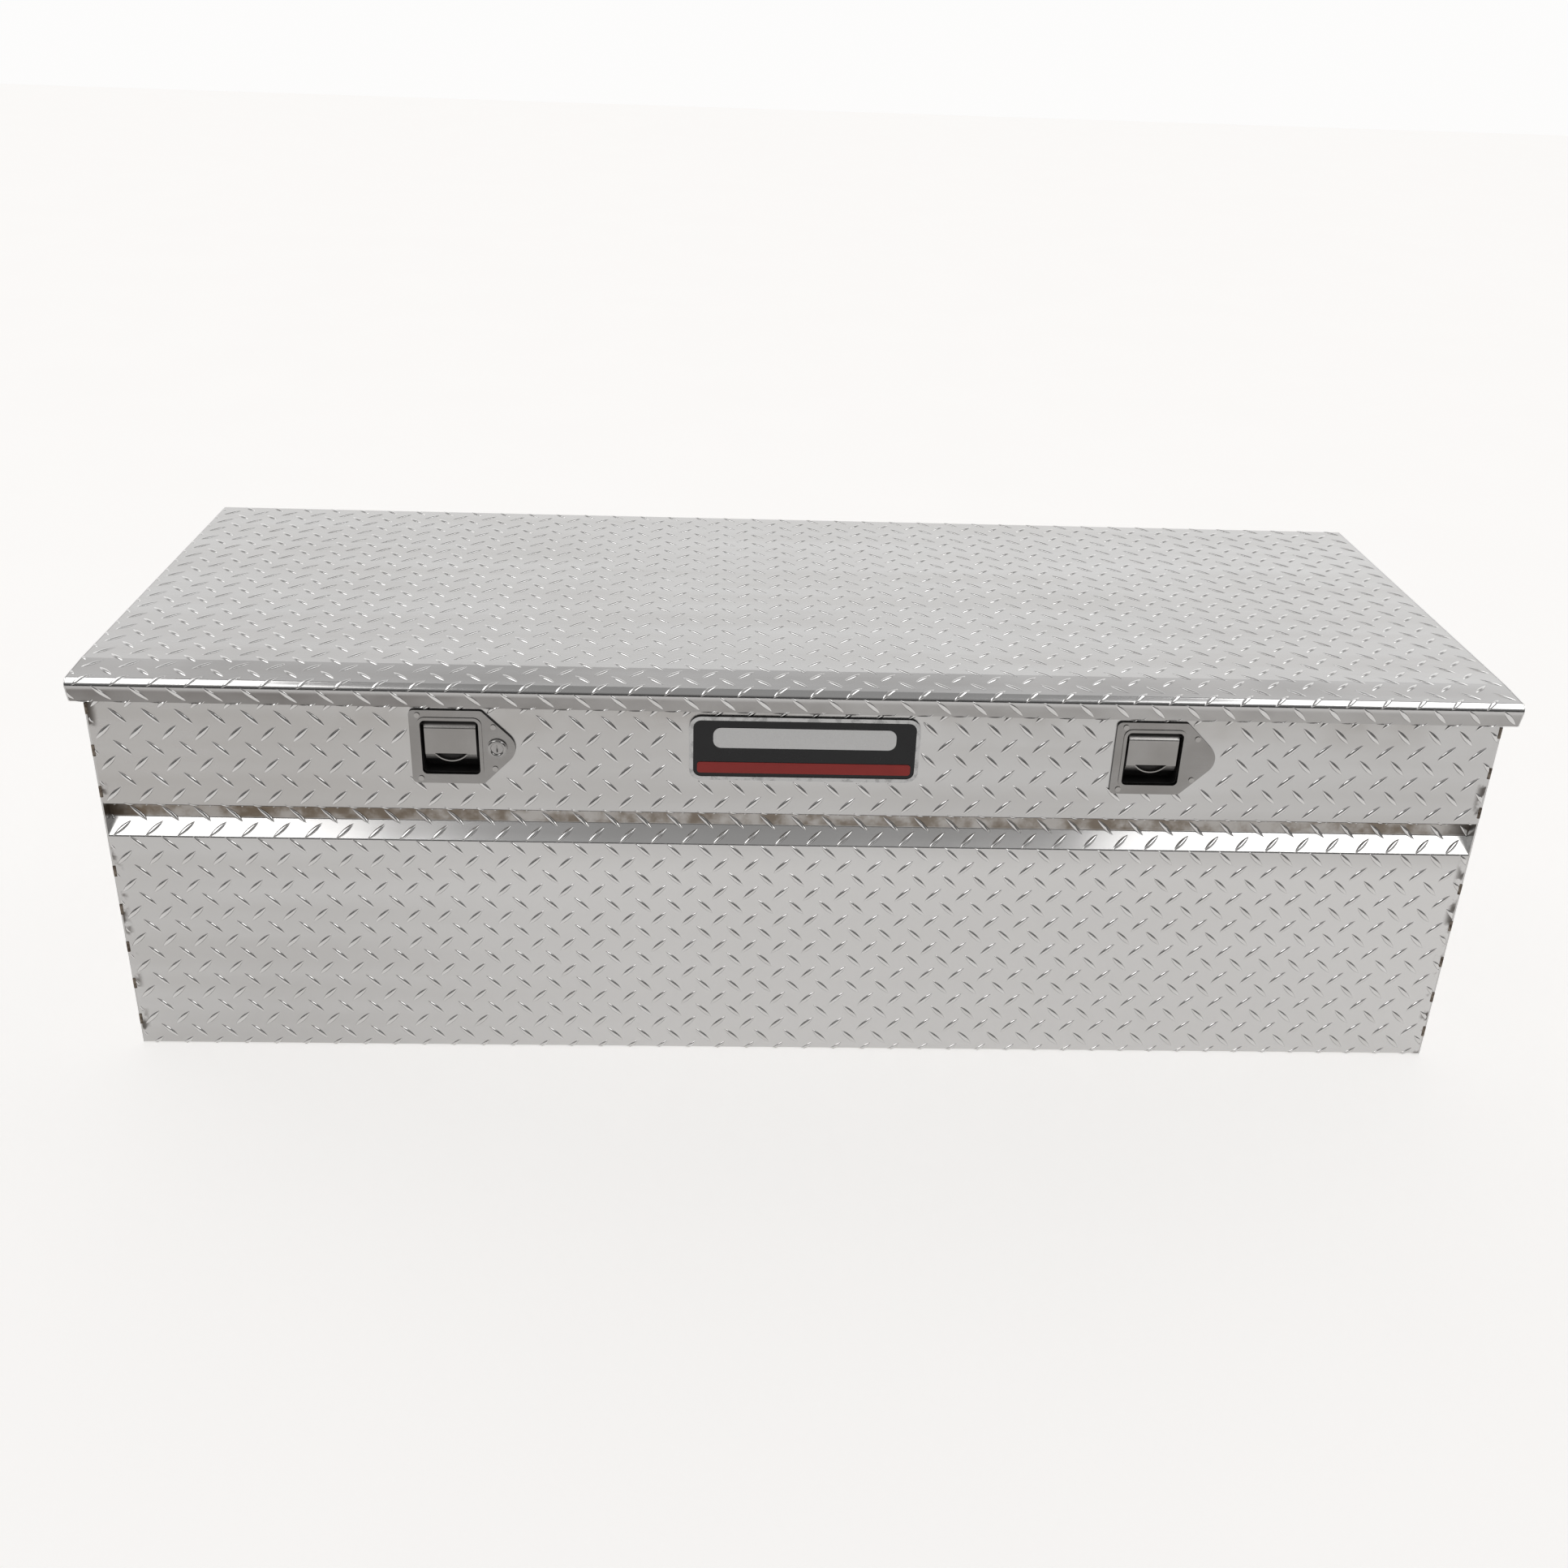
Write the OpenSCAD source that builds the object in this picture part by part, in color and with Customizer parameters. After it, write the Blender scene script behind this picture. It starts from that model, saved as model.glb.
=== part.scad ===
// Truck-bed tool chest: a folded tread-plate body with a piano-hinged lid,
// two paddle latches and two gas struts. Front is -Y, up is +Z, millimetres.
// The origin is on the floor, under the middle of the chest.

/* [Chest] */
// Overall length, across the lid
lid_length = 1435; // [1195:5:1725]
// Overall depth, from the lid's nose to the rivet heads on its rear skirt
lid_depth = 558; // [465:1:670]
// Overall height, from the floor to the top of the lid
chest_height = 440; // [366:1:528]
// Thickness of the aluminium sheet
sheet = 1.6; // [1.3:0.05:1.95]
// Outer radius of the sheet's bends
bend_r = 4; // [3.3:0.1:4.8]
// How far the lid stands out past each end of the body
side_overhang = 8.5; // [7:0.1:10.2]
// How far the lid's nose stands out past the front of the body
front_overhang = 18; // [15:0.5:21.6]
// Width of the rim that is folded inwards round the mouth
rim_width = 22; // [18.3:0.1:26.4]
// From the top of the lid down to the rim
rim_drop = 10; // [8.3:0.1:12]
// Width of the flanges that are folded inwards along the floor
foot_width = 25; // [20.8:0.1:30]

/* [Front groove] */
// From the top of the lid down to the groove
groove_drop = 147.5; // [140:0.5:177]
// Depth of the groove
groove_depth = 14; // [11.6:0.1:16.8]
// Height of the groove's upright back wall
groove_wall = 18.9; // [15.7:0.1:22.7]
// Height of the shelf that slopes out of the groove
groove_slope = 16; // [13.3:0.1:19.2]

/* [Lid] */
// Outer radius of the rolled nose
nose_r = 7.5; // [6.2:0.1:9]
// From the lid's front edge back to the crease where its front strip starts to fall
crease_back = 51; // [42.5:0.5:61.5]
// Slope of that strip, in degrees
crease_slope = 2.5; // [2:0.1:3]
// Lean of the front skirt, in degrees
skirt_lean = 14.6; // [12:0.1:17.5]
// Height of the front skirt
front_skirt = 26.4; // [24:0.1:31.7]
// Height of the rear skirt
rear_skirt = 23; // [19.2:0.1:27.6]
// Depth of the stiffeners under the lid
stiffener_drop = 12.4; // [10.3:0.1:14.9]
// Width of the stiffeners, over their flanges
stiffener_width = 48; // [40:0.5:57]

/* [Piano hinge] */
// Outer radius of the hinge's knuckles
knuckle_r = 3.6; // [3:0.1:4.3]
// Length of one knuckle and the gap after it
knuckle_pitch = 50; // [41.6:0.2:60]
// Thickness of the hinge's leaves
leaf = 1.2; // [1:0.1:1.4]
// Radius of the hinge pin
hinge_pin_r = 1.6; // [1.3:0.05:1.9]
// Distance between rivets along the hinge
rivet_pitch = 100; // [83:1:120]

/* [Gas struts] */
// Distance of both strut pivots from the hinge pin
strut_reach = 200; // [167:1:240]
// Angle between the two pivots, seen from the hinge pin
strut_spread = 80; // [72:0.5:88]
// From the top of the lid down to the strut's pivot on the lid
strut_drop = 15.6; // [14:0.1:18.7]
// Outer radius of the strut's cylinder
strut_r = 7.5; // [6.3:0.1:9]
// Radius of the strut's rod
rod_r = 4; // [3.4:0.1:4.8]
// How far the lid opens, in degrees
lid_open = 75; // [63:1:80]

/* [Latches] */
// From the middle of the chest to the middle of each paddle
latch_x = 354; // [295:1:425]
// From the top of the lid down to the middle of each paddle
latch_drop = 74.5; // [73:0.5:85]
// Width of the latch's dish
dish_width = 60; // [56:0.5:66]
// Height of the latch's dish
dish_height = 61; // [59:0.5:68]
// Depth of the latch's dish behind the front panel
dish_depth = 20; // [17:0.5:24]
// Thickness of the latch's stainless sheet
latch_sheet = 1.5; // [1.25:0.05:1.8]
// Width of the gap between the paddle and the dish at each side
paddle_gap = 3.3; // [2.8:0.1:4]
// Radius of the paddle's hinge pin
paddle_pin_r = 2; // [1.7:0.1:2.4]
// Radius of the lock's barrel
lock_r = 8.5; // [7.1:0.1:10]

/* [Badge] */
// Width of the plain badge plate
badge_width = 232; // [194:1:278]
// Height of the plain badge plate
badge_height = 70; // [59:1:76]

/* [Hidden] */

$fn = 48;
bend_steps = 6;
cut = 1;                 // how far a cutting shape runs past a face
running_gap = 0.06;      // radial clearance of a pin that turns in its bore
slip_gap = 0.05;         // radial clearance of a rivet in its hole

// Body
body_half = lid_length / 2 - side_overhang;
lid_half = lid_length / 2;
lid_front = -lid_depth / 2;
body_front = lid_front + front_overhang;
rivet_head = 0.8;
lid_rear = lid_depth / 2 - rivet_head;
hinge_y = lid_rear - sheet - knuckle_r;
body_rear = hinge_y - knuckle_r;
rim_top = chest_height - rim_drop;
groove_top = chest_height - groove_drop;
groove_back = body_front + groove_depth;
groove_foot = groove_top - groove_wall;
shelf_edge = groove_foot - groove_slope;
groove_bend = 2.4;
seam_gap = 0.2;

// Lid
skirt_gap = 1.5;         // the rear skirt ends this far above the hinge pin's axis
hinge_z = chest_height - rear_skirt - skirt_gap;
crease_y = lid_front + crease_back;
nose_y = lid_front + nose_r;
nose_run = (crease_y + nose_r * sin(crease_slope) - nose_y) / cos(crease_slope);
nose_z = chest_height - nose_run * sin(crease_slope) - nose_r * cos(crease_slope);
nose_turn = 90 + skirt_lean - crease_slope;
nose_mid = (270 + skirt_lean + crease_slope) / 2;
nose_tip = [nose_y, nose_z] + nose_r / cos(nose_turn / 2) * [cos(nose_mid), sin(nose_mid)];
skirt_foot_z = chest_height - front_skirt;
skirt_foot_y = nose_tip[0] + (nose_tip[1] - skirt_foot_z) * tan(skirt_lean);
lid_under = chest_height - sheet;
stiffener_foot = lid_under - stiffener_drop;
stiffener_flange = 10;
stiffener_sheet = 1.2;
stiffener_bend = 2;
stiffener_end = 75;      // from the end of the body to the end of a stiffener
stiffener_front_y = crease_y + stiffener_width / 2 + 1;
stiffener_rear_y = (body_front + body_rear) / 2 + 30;

// Seal
seal_width = 12;
seal_gap = 0.4;
seal_inset = 4;
seal_butt = 0.5;
crease_fall = (crease_y - body_front - seal_inset) * tan(crease_slope);
seal_height = rim_drop - sheet - crease_fall - seal_gap;
seal_foot = 1.6;

// Hinge
knuckle_gap = 0.5;
hinge_margin = 9;        // from the end of the body to the end of the hinge
knuckle_count = 2 * floor((body_half - hinge_margin) / knuckle_pitch);
hinge_half = knuckle_count * knuckle_pitch / 2;
leaf_clear = knuckle_r + 0.4;
leaf_down = 26;
leaf_up = rear_skirt + skirt_gap - bend_r - 0.2;
rivet_r = 2;
rivet_head_r = 4;
rivet_tail_r = 3.2;
rivet_tail = 1.5;
rivet_margin = 20;       // least distance from the last rivet to the end of the hinge
rivet_count = 2 * floor((hinge_half - rivet_margin) / rivet_pitch + 0.5);
rivet_down = 15;
rivet_up = (leaf_up + leaf_clear) / 2;

// Struts
strut_inset = 43;
strut_x = body_half - strut_inset;
strut_lift = chest_height - strut_drop - hinge_z;
strut_rise = asin(strut_lift / strut_reach);
strut_fall = strut_spread - strut_rise;
strut_lean = strut_spread / 2 - strut_rise;
strut_lid_y = hinge_y - strut_reach * cos(strut_rise);
strut_lid_z = hinge_z + strut_lift;
strut_body_y = hinge_y - strut_reach * cos(strut_fall);
strut_body_z = hinge_z - strut_reach * sin(strut_fall);
strut_closed = 2 * strut_reach * sin(strut_spread / 2);
strut_open = 2 * strut_reach * sin((strut_spread + lid_open) / 2);
eye_r = 7;
eye_width = 10;
stud_r = 4;
stud_head_r = 6;
stud_head = 1.6;
shoulder_gap = 0.3;
neck_r = stud_r + 0.6;
end_length = 22;         // from a pivot to the end of the cylinder or of the rod's neck
neck_gap = 8;            // between the cylinder and the rod's neck, closed
cylinder_length = strut_closed - 2 * end_length - neck_gap;
strut_wall = 1.2;
strut_floor = 3;
guide_length = 12;
rod_gap = 0.1;
piston_gap = 0.3;
piston_length = 8;
piston_spare = 20;       // from the piston to the guide, fully open
piston_foot = end_length + cylinder_length - guide_length - piston_spare - piston_length
              - (strut_open - strut_closed);
bracket = 3;
bracket_half = 20;
bracket_foot = 24;
bracket_tab = 9;         // from the stud's axis down to the end of the lid bracket's tab
bracket_gap = 2.5;
bracket_face = strut_x + strut_r + bracket_gap;
stud_nut = 2;

// Latches
latch_z = chest_height - latch_drop;
gasket = 1.5;
plate_back = -gasket;
plate_front = plate_back - latch_sheet;
plate_left = -39.6;
plate_half = 40;
plate_corner = 5;
nose_x = 46.5;
nose_round = 18;
dish_wall = 1.2;
dish_corner = 6;
lip_width = 2;
lip_rise = 1.2;
cutout_gap = 0.6;
rivet_spots = [[-31, 34.7], [-31, -34.7], [43.5, 23], [43.5, -23]];
latch_rivet_r = 1.6;
latch_rivet_head_r = 2.8;
latch_rivet_head = 1.1;
latch_rivet_tail_r = 2.4;
latch_rivet_tail = 2;
paddle_half = dish_width / 2 - dish_wall - paddle_gap;
paddle_front = plate_front + 2;
paddle_pivot = [6.7, dish_height / 2 - 8.5];
paddle_top = paddle_pivot[1] + 4.5;
paddle_band = 6.5;
paddle_foot = paddle_top - 41.5;
paddle_band_fall = 4.5;  // how far the band at the paddle's top leans back
paddle_lip = 7;
paddle_lip_fall = 3.5;
paddle_bend = 2.5;
paddle_ear_r = 4.5;
paddle_ear = 7.5;
scoop_r = 20;
scoop_drop = 34.2;       // from the top of the paddle down to the scoop's straight edge
scoop_chord = 12;        // from the scoop's centre down to that edge
scoop_depth = 4.5;
scoop_wall = 1.2;
tongue_half = 5;
tongue_z = paddle_pivot[1] - 5;
tongue = 2;
tongue_reach = dish_depth + 10;
slot_half = 6.5;
slot_up = tongue_z + tongue + 1.5;
slot_down = tongue_z - 12.5;
spring_in = tongue_half + 3;
spring_out = paddle_half - latch_sheet - 2;
spring_r = 3.4;
spring_bore = paddle_pin_r + 0.3;
pin_head = 1;
case_sheet = 1.5;
case_half = 9;
case_reach = dish_depth + 32;
case_foot = 12;          // from the pawl's pin down to the end of the case's cheeks
case_head = 9;
case_flange_foot = 10;   // from the slot down to the end of the case's flange
case_flange_head = 4;
pawl_pivot = [dish_depth + 22, tongue_z - 9];
pawl_half = case_half - case_sheet - 1;
pawl_pin_r = 3;
pawl_hub = 7;
pawl_tail = 6;           // from the tongue's underside down to the pawl's tail
pawl_tail_height = 6;
pawl_pin_head = 1.5;
striker_bar = [dish_depth + 32, paddle_pivot[1] + 8];
striker_r = 4;
striker_half = 14;
striker_plate = 3;
striker_foot_half = 26;
striker_foot = [5, 21];  // how far the foot plate reaches in front of the bar and behind it
hook_gap = 1.7;          // the hook stops this far short of the striker's path
hook_depth = 4;
hook_reach = striker_bar[0] - striker_r - hook_gap;
hook_height = 4;
hook_top = striker_bar[1] + striker_r + 1 + hook_height;

// Lock
lock_flange_r = lock_r + 1.5;
lock_flange = 2;
lock_x = nose_x;
lock_plug_r = lock_r - 2.5;
lock_length = dish_depth + 4;
lock_nut_r = lock_r + 5;
lock_nut_height = 4;
lock_face = 0.6;         // from the flange's face in to the plug's
plug_end = 0.4;
cam_sheet = 2;
cam_length = 24;
cam_half = 5;
cam_boss_r = 7;
cam_stub_r = 3;
key_slot = [1.4, 8, 6];

// Welds
weld_r = 1.8;
weld_rise = 1.2;
weld_length = 12;
weld_pitch = 46;
weld_start = 26;

// Badge
badge_sheet = 2.4;
badge_rim = 4;
badge_rim_rise = 0.8;
badge_corner = 12;
badge_lift = 3.5;        // from the middle of the latches up to the middle of the badge
badge_strip_height = 12;
badge_strip_corner = 3;
badge_strip_sheet = 0.6;
badge_bar_height = 22;
badge_bar_corner = 8;

// --- Sheet folding -------------------------------------------------------

function unit(v) = v / norm(v);
function left(v) = [-v[1], v[0]];
function spun(v, a) = [v[0] * cos(a) - v[1] * sin(a), v[0] * sin(a) + v[1] * cos(a)];
function reversed(list) = [for (i = [len(list) - 1:-1:0]) list[i]];

// Points of the bend at corner b, on the face that lies "inset" to the left of the path
function bend(a, b, c, r, inset) =
    let (d1 = unit(b - a), d2 = unit(c - b))
    let (side = sign(cross(d1, d2)), turn = acos(d1 * d2))
    let (centre = b - d1 * r * tan(turn / 2) + left(d1) * side * r)
    [for (k = [0:bend_steps])
        centre + (r - side * inset) * spun(-side * left(d1), side * turn * k / bend_steps)];

// One face of a sheet that follows a path, with a radius at each corner
function face(path, radii, inset) =
    let (last = len(path) - 1)
    concat(
        [path[0] + left(unit(path[1] - path[0])) * inset],
        [for (i = [1:last - 1]) each bend(path[i - 1], path[i], path[i + 1], radii[i - 1], inset)],
        [path[last] + left(unit(path[last] - path[last - 1])) * inset]
    );

// A sheet of thickness t whose outer face follows the path, with the metal to its left
module folded(path, radii, t) {
    polygon(concat(face(path, radii, 0), reversed(face(path, radii, t))));
}

function corner_arc(c, r, from) =
    [for (k = [0:bend_steps]) c + r * [cos(from + 90 * k / bend_steps), sin(from + 90 * k / bend_steps)]];

module round_rect(w, h, r) {
    polygon(concat(
        corner_arc([w / 2 - r, h / 2 - r], r, 0),
        corner_arc([r - w / 2, h / 2 - r], r, 90),
        corner_arc([r - w / 2, r - h / 2], r, 180),
        corner_arc([w / 2 - r, r - h / 2], r, 270)
    ));
}

// A YZ outline drawn out along X
module along_x(x0, x1) {
    translate([x0, 0, 0]) rotate([90, 0, 90]) linear_extrude(x1 - x0) children();
}

// An XZ outline drawn out along Y
module along_y(y0, y1) {
    translate([0, y1, 0]) rotate([90, 0, 0]) linear_extrude(y1 - y0) children();
}

module rod_x(x0, x1, r) {
    translate([x0, 0, 0]) rotate([0, 90, 0]) cylinder(h = x1 - x0, r = r);
}

module rod_y(y0, y1, r) {
    translate([0, y0, 0]) rotate([-90, 0, 0]) cylinder(h = y1 - y0, r = r);
}

// --- Body ----------------------------------------------------------------

front_path = [
    [body_front + rim_width, rim_top],
    [body_front, rim_top],
    [body_front, groove_top],
    [groove_back, groove_top],
    [groove_back, groove_foot],
    [body_front, shelf_edge],
    [body_front, 0],
    [body_front + foot_width, 0]
];
front_radii = [bend_r, bend_r, groove_bend, groove_bend, bend_r, bend_r];

rear_path = [
    [body_rear - foot_width, 0],
    [body_rear, 0],
    [body_rear, rim_top],
    [body_rear - rim_width, rim_top]
];

module at_latch(s) {
    translate([s * latch_x, body_front, latch_z]) children();
}

module front_panel() {
    color("silver") difference() {
        along_x(sheet - body_half, body_half - sheet) folded(front_path, front_radii, sheet);
        for (s = [-1, 1]) at_latch(s) {
            along_y(-cut, sheet + cut)
                round_rect(dish_width + 2 * cutout_gap, dish_height + 2 * cutout_gap,
                           dish_corner + cutout_gap);
            latch_rivet_holes(-cut, sheet + cut);
        }
        at_latch(-1) translate([lock_x, 0, 0]) rod_y(-cut, sheet + cut, lock_r + slip_gap);
    }
}

module rear_panel() {
    color("silver") difference() {
        along_x(sheet - body_half, body_half - sheet)
            folded(rear_path, [bend_r, bend_r], sheet);
        at_hinge_rivets() translate([0, 0, -rivet_down])
            rod_y(body_rear - hinge_y - sheet - cut, body_rear - hinge_y + cut, rivet_r + slip_gap);
    }
}

// An end panel: a flat sheet that closes the groove, with its rim folded inwards
module side_panel(s) {
    depth = body_rear - body_front;
    color("silver") {
        translate([s * (body_half - sheet / 2), 0, 0])
            along_x(-sheet / 2, sheet / 2)
                translate([(body_rear + body_front) / 2, rim_top / 2])
                    round_rect(depth, rim_top, bend_r);
        rim_y0 = body_front + rim_width + seam_gap;
        rim_y1 = body_rear - rim_width - seam_gap;
        rim_x = min(s * (body_half - sheet), s * (body_half - rim_width));
        translate([rim_x, rim_y0, rim_top - sheet])
            cube([rim_width - sheet, rim_y1 - rim_y0, sheet]);
    }
}

module floor_panel() {
    y0 = body_front + foot_width;
    color("silver") translate([sheet - body_half, y0, 0])
        cube([2 * (body_half - sheet), body_rear - foot_width - y0, sheet]);
}

// Short beads that join the end panels to the front and the back
module corner_welds() {
    count = floor((rim_top - weld_start - weld_length) / weld_pitch);
    color("dimgray")
        for (s = [-1, 1], face_y = [body_front, body_rear], k = [0:count]) {
            z = weld_start + k * weld_pitch;
            in_groove = face_y == body_front && z + weld_length > shelf_edge - bend_r
                        && z < groove_top + bend_r;
            out = face_y == body_front ? -1 : 1;
            if (!in_groove)
                translate([s * (body_half - sheet), face_y, z]) intersection() {
                    translate([0, -out * (weld_r - weld_rise), 0]) cylinder(h = weld_length, r = weld_r);
                    translate([-weld_r, min(0, out * weld_r), 0]) cube([2 * weld_r, weld_r, weld_length]);
                }
        }
}

module seal_profile() {
    translate([-seal_width / 2, 0]) square([seal_width, seal_foot]);
    translate([0, seal_height / 2]) circle(r = seal_height / 2);
}

// Bulb seal on the rim: four strips, butted at the corners
module rim_seal() {
    mid = seal_inset + seal_width / 2;
    long_half = body_half - seal_inset;
    y0 = body_front + mid;
    y1 = body_rear - mid;
    side_y0 = y0 + seal_width / 2 + seal_butt;
    side_y1 = y1 - seal_width / 2 - seal_butt;
    color("black") translate([0, 0, rim_top]) {
        for (y = [y0, y1]) translate([0, y, 0]) along_x(-long_half, long_half) seal_profile();
        for (s = [-1, 1]) translate([s * (body_half - mid), 0, 0]) along_y(side_y0, side_y1) seal_profile();
    }
}

// --- Lid -----------------------------------------------------------------

lid_path = [
    [lid_rear, chest_height - rear_skirt],
    [lid_rear, chest_height],
    [crease_y, chest_height],
    nose_tip,
    [skirt_foot_y, skirt_foot_z]
];
lid_radii = [bend_r, bend_r, nose_r];

module lid_skin() {
    color("silver") difference() {
        union() {
            along_x(-lid_half, lid_half) folded(lid_path, lid_radii, sheet);
            for (x = [-lid_half, lid_half - sheet])
                along_x(x, x + sheet) polygon(face(lid_path, lid_radii, 0));
        }
        at_hinge_rivets() translate([0, 0, rivet_up])
            rod_y(knuckle_r - cut, knuckle_r + sheet + cut, rivet_r + slip_gap);
    }
}

// A hat channel bonded along the underside of the lid
module lid_stiffener(y) {
    half = stiffener_width / 2;
    web = half - stiffener_flange;
    end = body_half - stiffener_end;
    crown = stiffener_foot + stiffener_sheet;
    path = [
        [half, lid_under], [web, lid_under], [web, crown],
        [-web, crown], [-web, lid_under], [-half, lid_under]
    ];
    radii = [for (corner = [1:4]) stiffener_bend];
    color("gainsboro") along_x(-end, end) translate([y, 0]) folded(path, radii, stiffener_sheet);
}

// --- Piano hinge ---------------------------------------------------------

// Places its children at each rivet along the hinge, on the pin's axis
module at_hinge_rivets() {
    for (k = [0:rivet_count - 1])
        translate([(k - (rivet_count - 1) / 2) * rivet_pitch, hinge_y, hinge_z]) children();
}

// The knuckles of one leaf, with the tabs that join them to it
module knuckles(first, leaf_y, toward) {
    for (k = [first:2:knuckle_count - 1]) {
        x0 = -hinge_half + k * knuckle_pitch;
        x1 = x0 + knuckle_pitch - knuckle_gap;
        rod_x(x0, x1, knuckle_r);
        translate([x0, leaf_y, min(0, toward * leaf_clear)]) cube([x1 - x0, leaf, leaf_clear]);
    }
}

module hinge_leaf_body() {
    color("lightgray") difference() {
        translate([0, hinge_y, hinge_z]) difference() {
            union() {
                knuckles(0, -knuckle_r, -1);
                translate([-hinge_half, -knuckle_r, -leaf_down])
                    cube([2 * hinge_half, leaf, leaf_down - leaf_clear]);
            }
            rod_x(-hinge_half - cut, hinge_half + cut, hinge_pin_r + running_gap);
        }
        at_hinge_rivets() translate([0, 0, -rivet_down])
            rod_y(-knuckle_r - cut, leaf - knuckle_r + cut, rivet_r + slip_gap);
    }
}

module hinge_leaf_lid() {
    color("lightgray") difference() {
        translate([0, hinge_y, hinge_z]) difference() {
            union() {
                knuckles(1, knuckle_r - leaf, 1);
                translate([-hinge_half, knuckle_r - leaf, leaf_clear])
                    cube([2 * hinge_half, leaf, leaf_up - leaf_clear]);
            }
            rod_x(-hinge_half - cut, hinge_half + cut, hinge_pin_r + running_gap);
        }
        at_hinge_rivets() translate([0, 0, rivet_up])
            rod_y(knuckle_r - leaf - cut, knuckle_r + cut, rivet_r + slip_gap);
    }
}

module hinge_pin() {
    color("gray") translate([0, hinge_y, hinge_z]) rod_x(-hinge_half, hinge_half, hinge_pin_r);
}

// A blind rivet along Y that clamps whatever lies between y0 and y1, its head at y1
module blind_rivet(y0, y1) {
    rod_y(y0, y1, rivet_r);
    rod_y(y1, y1 + rivet_head, rivet_head_r);
    rod_y(y0 - rivet_tail, y0, rivet_tail_r);
}

module hinge_rivets_body() {
    color("lightgray") at_hinge_rivets() translate([0, 0, -rivet_down])
        blind_rivet(-knuckle_r - sheet, leaf - knuckle_r);
}

module hinge_rivets_lid() {
    color("lightgray") at_hinge_rivets() translate([0, 0, rivet_up])
        blind_rivet(knuckle_r - leaf, knuckle_r + sheet);
}

// --- Gas struts ----------------------------------------------------------

// A channel bracket that holds the strut's lower stud clear of the end panel
module strut_bracket_body(s) {
    wall = body_half - sheet;
    color("gainsboro") translate([0, strut_body_y, strut_body_z]) difference() {
        union() {
            for (x = [bracket_face, wall - bracket])
                translate([min(s * x, s * (x + bracket)), -bracket_half, -bracket_half])
                    cube([bracket, 2 * bracket_half, 2 * bracket_half]);
            translate([min(s * bracket_face, s * wall), -bracket_half, -bracket_half])
                cube([wall - bracket_face, 2 * bracket_half, bracket]);
        }
        rod_x(s * bracket_face - 2 * bracket, s * bracket_face + 2 * bracket, stud_r + slip_gap);
    }
}

// An angle bracket under the lid, with a tab for the strut's upper stud
module strut_bracket_lid(s) {
    top = lid_under - strut_lid_z;
    outer = bracket_face + bracket;
    color("gainsboro") translate([0, strut_lid_y, strut_lid_z]) difference() {
        union() {
            translate([min(s * bracket_face, s * outer), -bracket_half, -bracket_tab])
                cube([bracket, 2 * bracket_half, top + bracket_tab]);
            translate([min(s * (outer - bracket_foot), s * outer), -bracket_half, top - bracket])
                cube([bracket_foot, 2 * bracket_half, bracket]);
        }
        rod_x(s * bracket_face - 2 * bracket, s * bracket_face + 2 * bracket, stud_r + slip_gap);
    }
}

// A shouldered stud: nut, shank, shoulder, journal and retaining head
module strut_stud(s, y, z) {
    inner = eye_width / 2 + shoulder_gap;
    outer = bracket_face + bracket;
    color("darkgray") translate([0, y, z]) mirror([s < 0 ? 1 : 0, 0, 0]) {
        rod_x(strut_x - inner - stud_head, outer + stud_nut, stud_r);
        rod_x(strut_x - inner - stud_head, strut_x - inner, stud_head_r);
        rod_x(strut_x + inner, bracket_face, stud_head_r);
        rod_x(outer, outer + stud_nut, stud_head_r);
    }
}

// Places its children along the strut: origin at the lower pivot, +Z towards the upper one
module on_strut(s) {
    translate([s * strut_x, strut_body_y, strut_body_z]) rotate([strut_lean, 0, 0]) children();
}

module strut_eye() {
    rod_x(-eye_width / 2, eye_width / 2, eye_r);
}

module strut_cylinder(s) {
    color("dimgray") on_strut(s) difference() {
        union() {
            strut_eye();
            cylinder(h = end_length, r = neck_r);
            translate([0, 0, end_length]) cylinder(h = cylinder_length, r = strut_r);
        }
        translate([0, 0, end_length + strut_floor]) {
            cylinder(h = cylinder_length - guide_length - strut_floor, r = strut_r - strut_wall);
            cylinder(h = cylinder_length, r = rod_r + rod_gap);
        }
        rod_x(-eye_width, eye_width, stud_r + running_gap);
    }
}

module strut_rod(s) {
    color("lightsteelblue") on_strut(s) difference() {
        union() {
            translate([0, 0, strut_closed]) strut_eye();
            translate([0, 0, strut_closed - end_length]) cylinder(h = end_length, r = neck_r);
            translate([0, 0, piston_foot]) {
                cylinder(h = strut_closed - eye_r - piston_foot, r = rod_r);
                cylinder(h = piston_length, r = strut_r - strut_wall - piston_gap);
            }
        }
        translate([0, 0, strut_closed]) rod_x(-eye_width, eye_width, stud_r + running_gap);
    }
}

// --- Latches -------------------------------------------------------------
// Drawn about the middle of the dish: X to the right, Y behind the panel's face, Z up.

// The plate's outline: a square end on the left and a rounded nose on the right
module latch_plate_outline() {
    shoulder = nose_x + nose_round * sqrt(2) - plate_half;
    polygon(concat(
        [for (a = [-45:7.5:45]) [nose_x + nose_round * cos(a), nose_round * sin(a)]],
        bend([nose_x, shoulder + plate_half - nose_x], [shoulder, plate_half],
             [plate_left, plate_half], plate_corner, 0),
        corner_arc([plate_left + plate_corner, plate_half - plate_corner], plate_corner, 90),
        corner_arc([plate_left + plate_corner, plate_corner - plate_half], plate_corner, 180),
        bend([plate_left, -plate_half], [shoulder, -plate_half],
             [nose_x, nose_x - shoulder - plate_half], plate_corner, 0)
    ));
}

module latch_rivet_holes(y0, y1) {
    for (p = rivet_spots)
        translate([p[0], 0, p[1]]) rod_y(y0, y1, latch_rivet_r + slip_gap);
}

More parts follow.
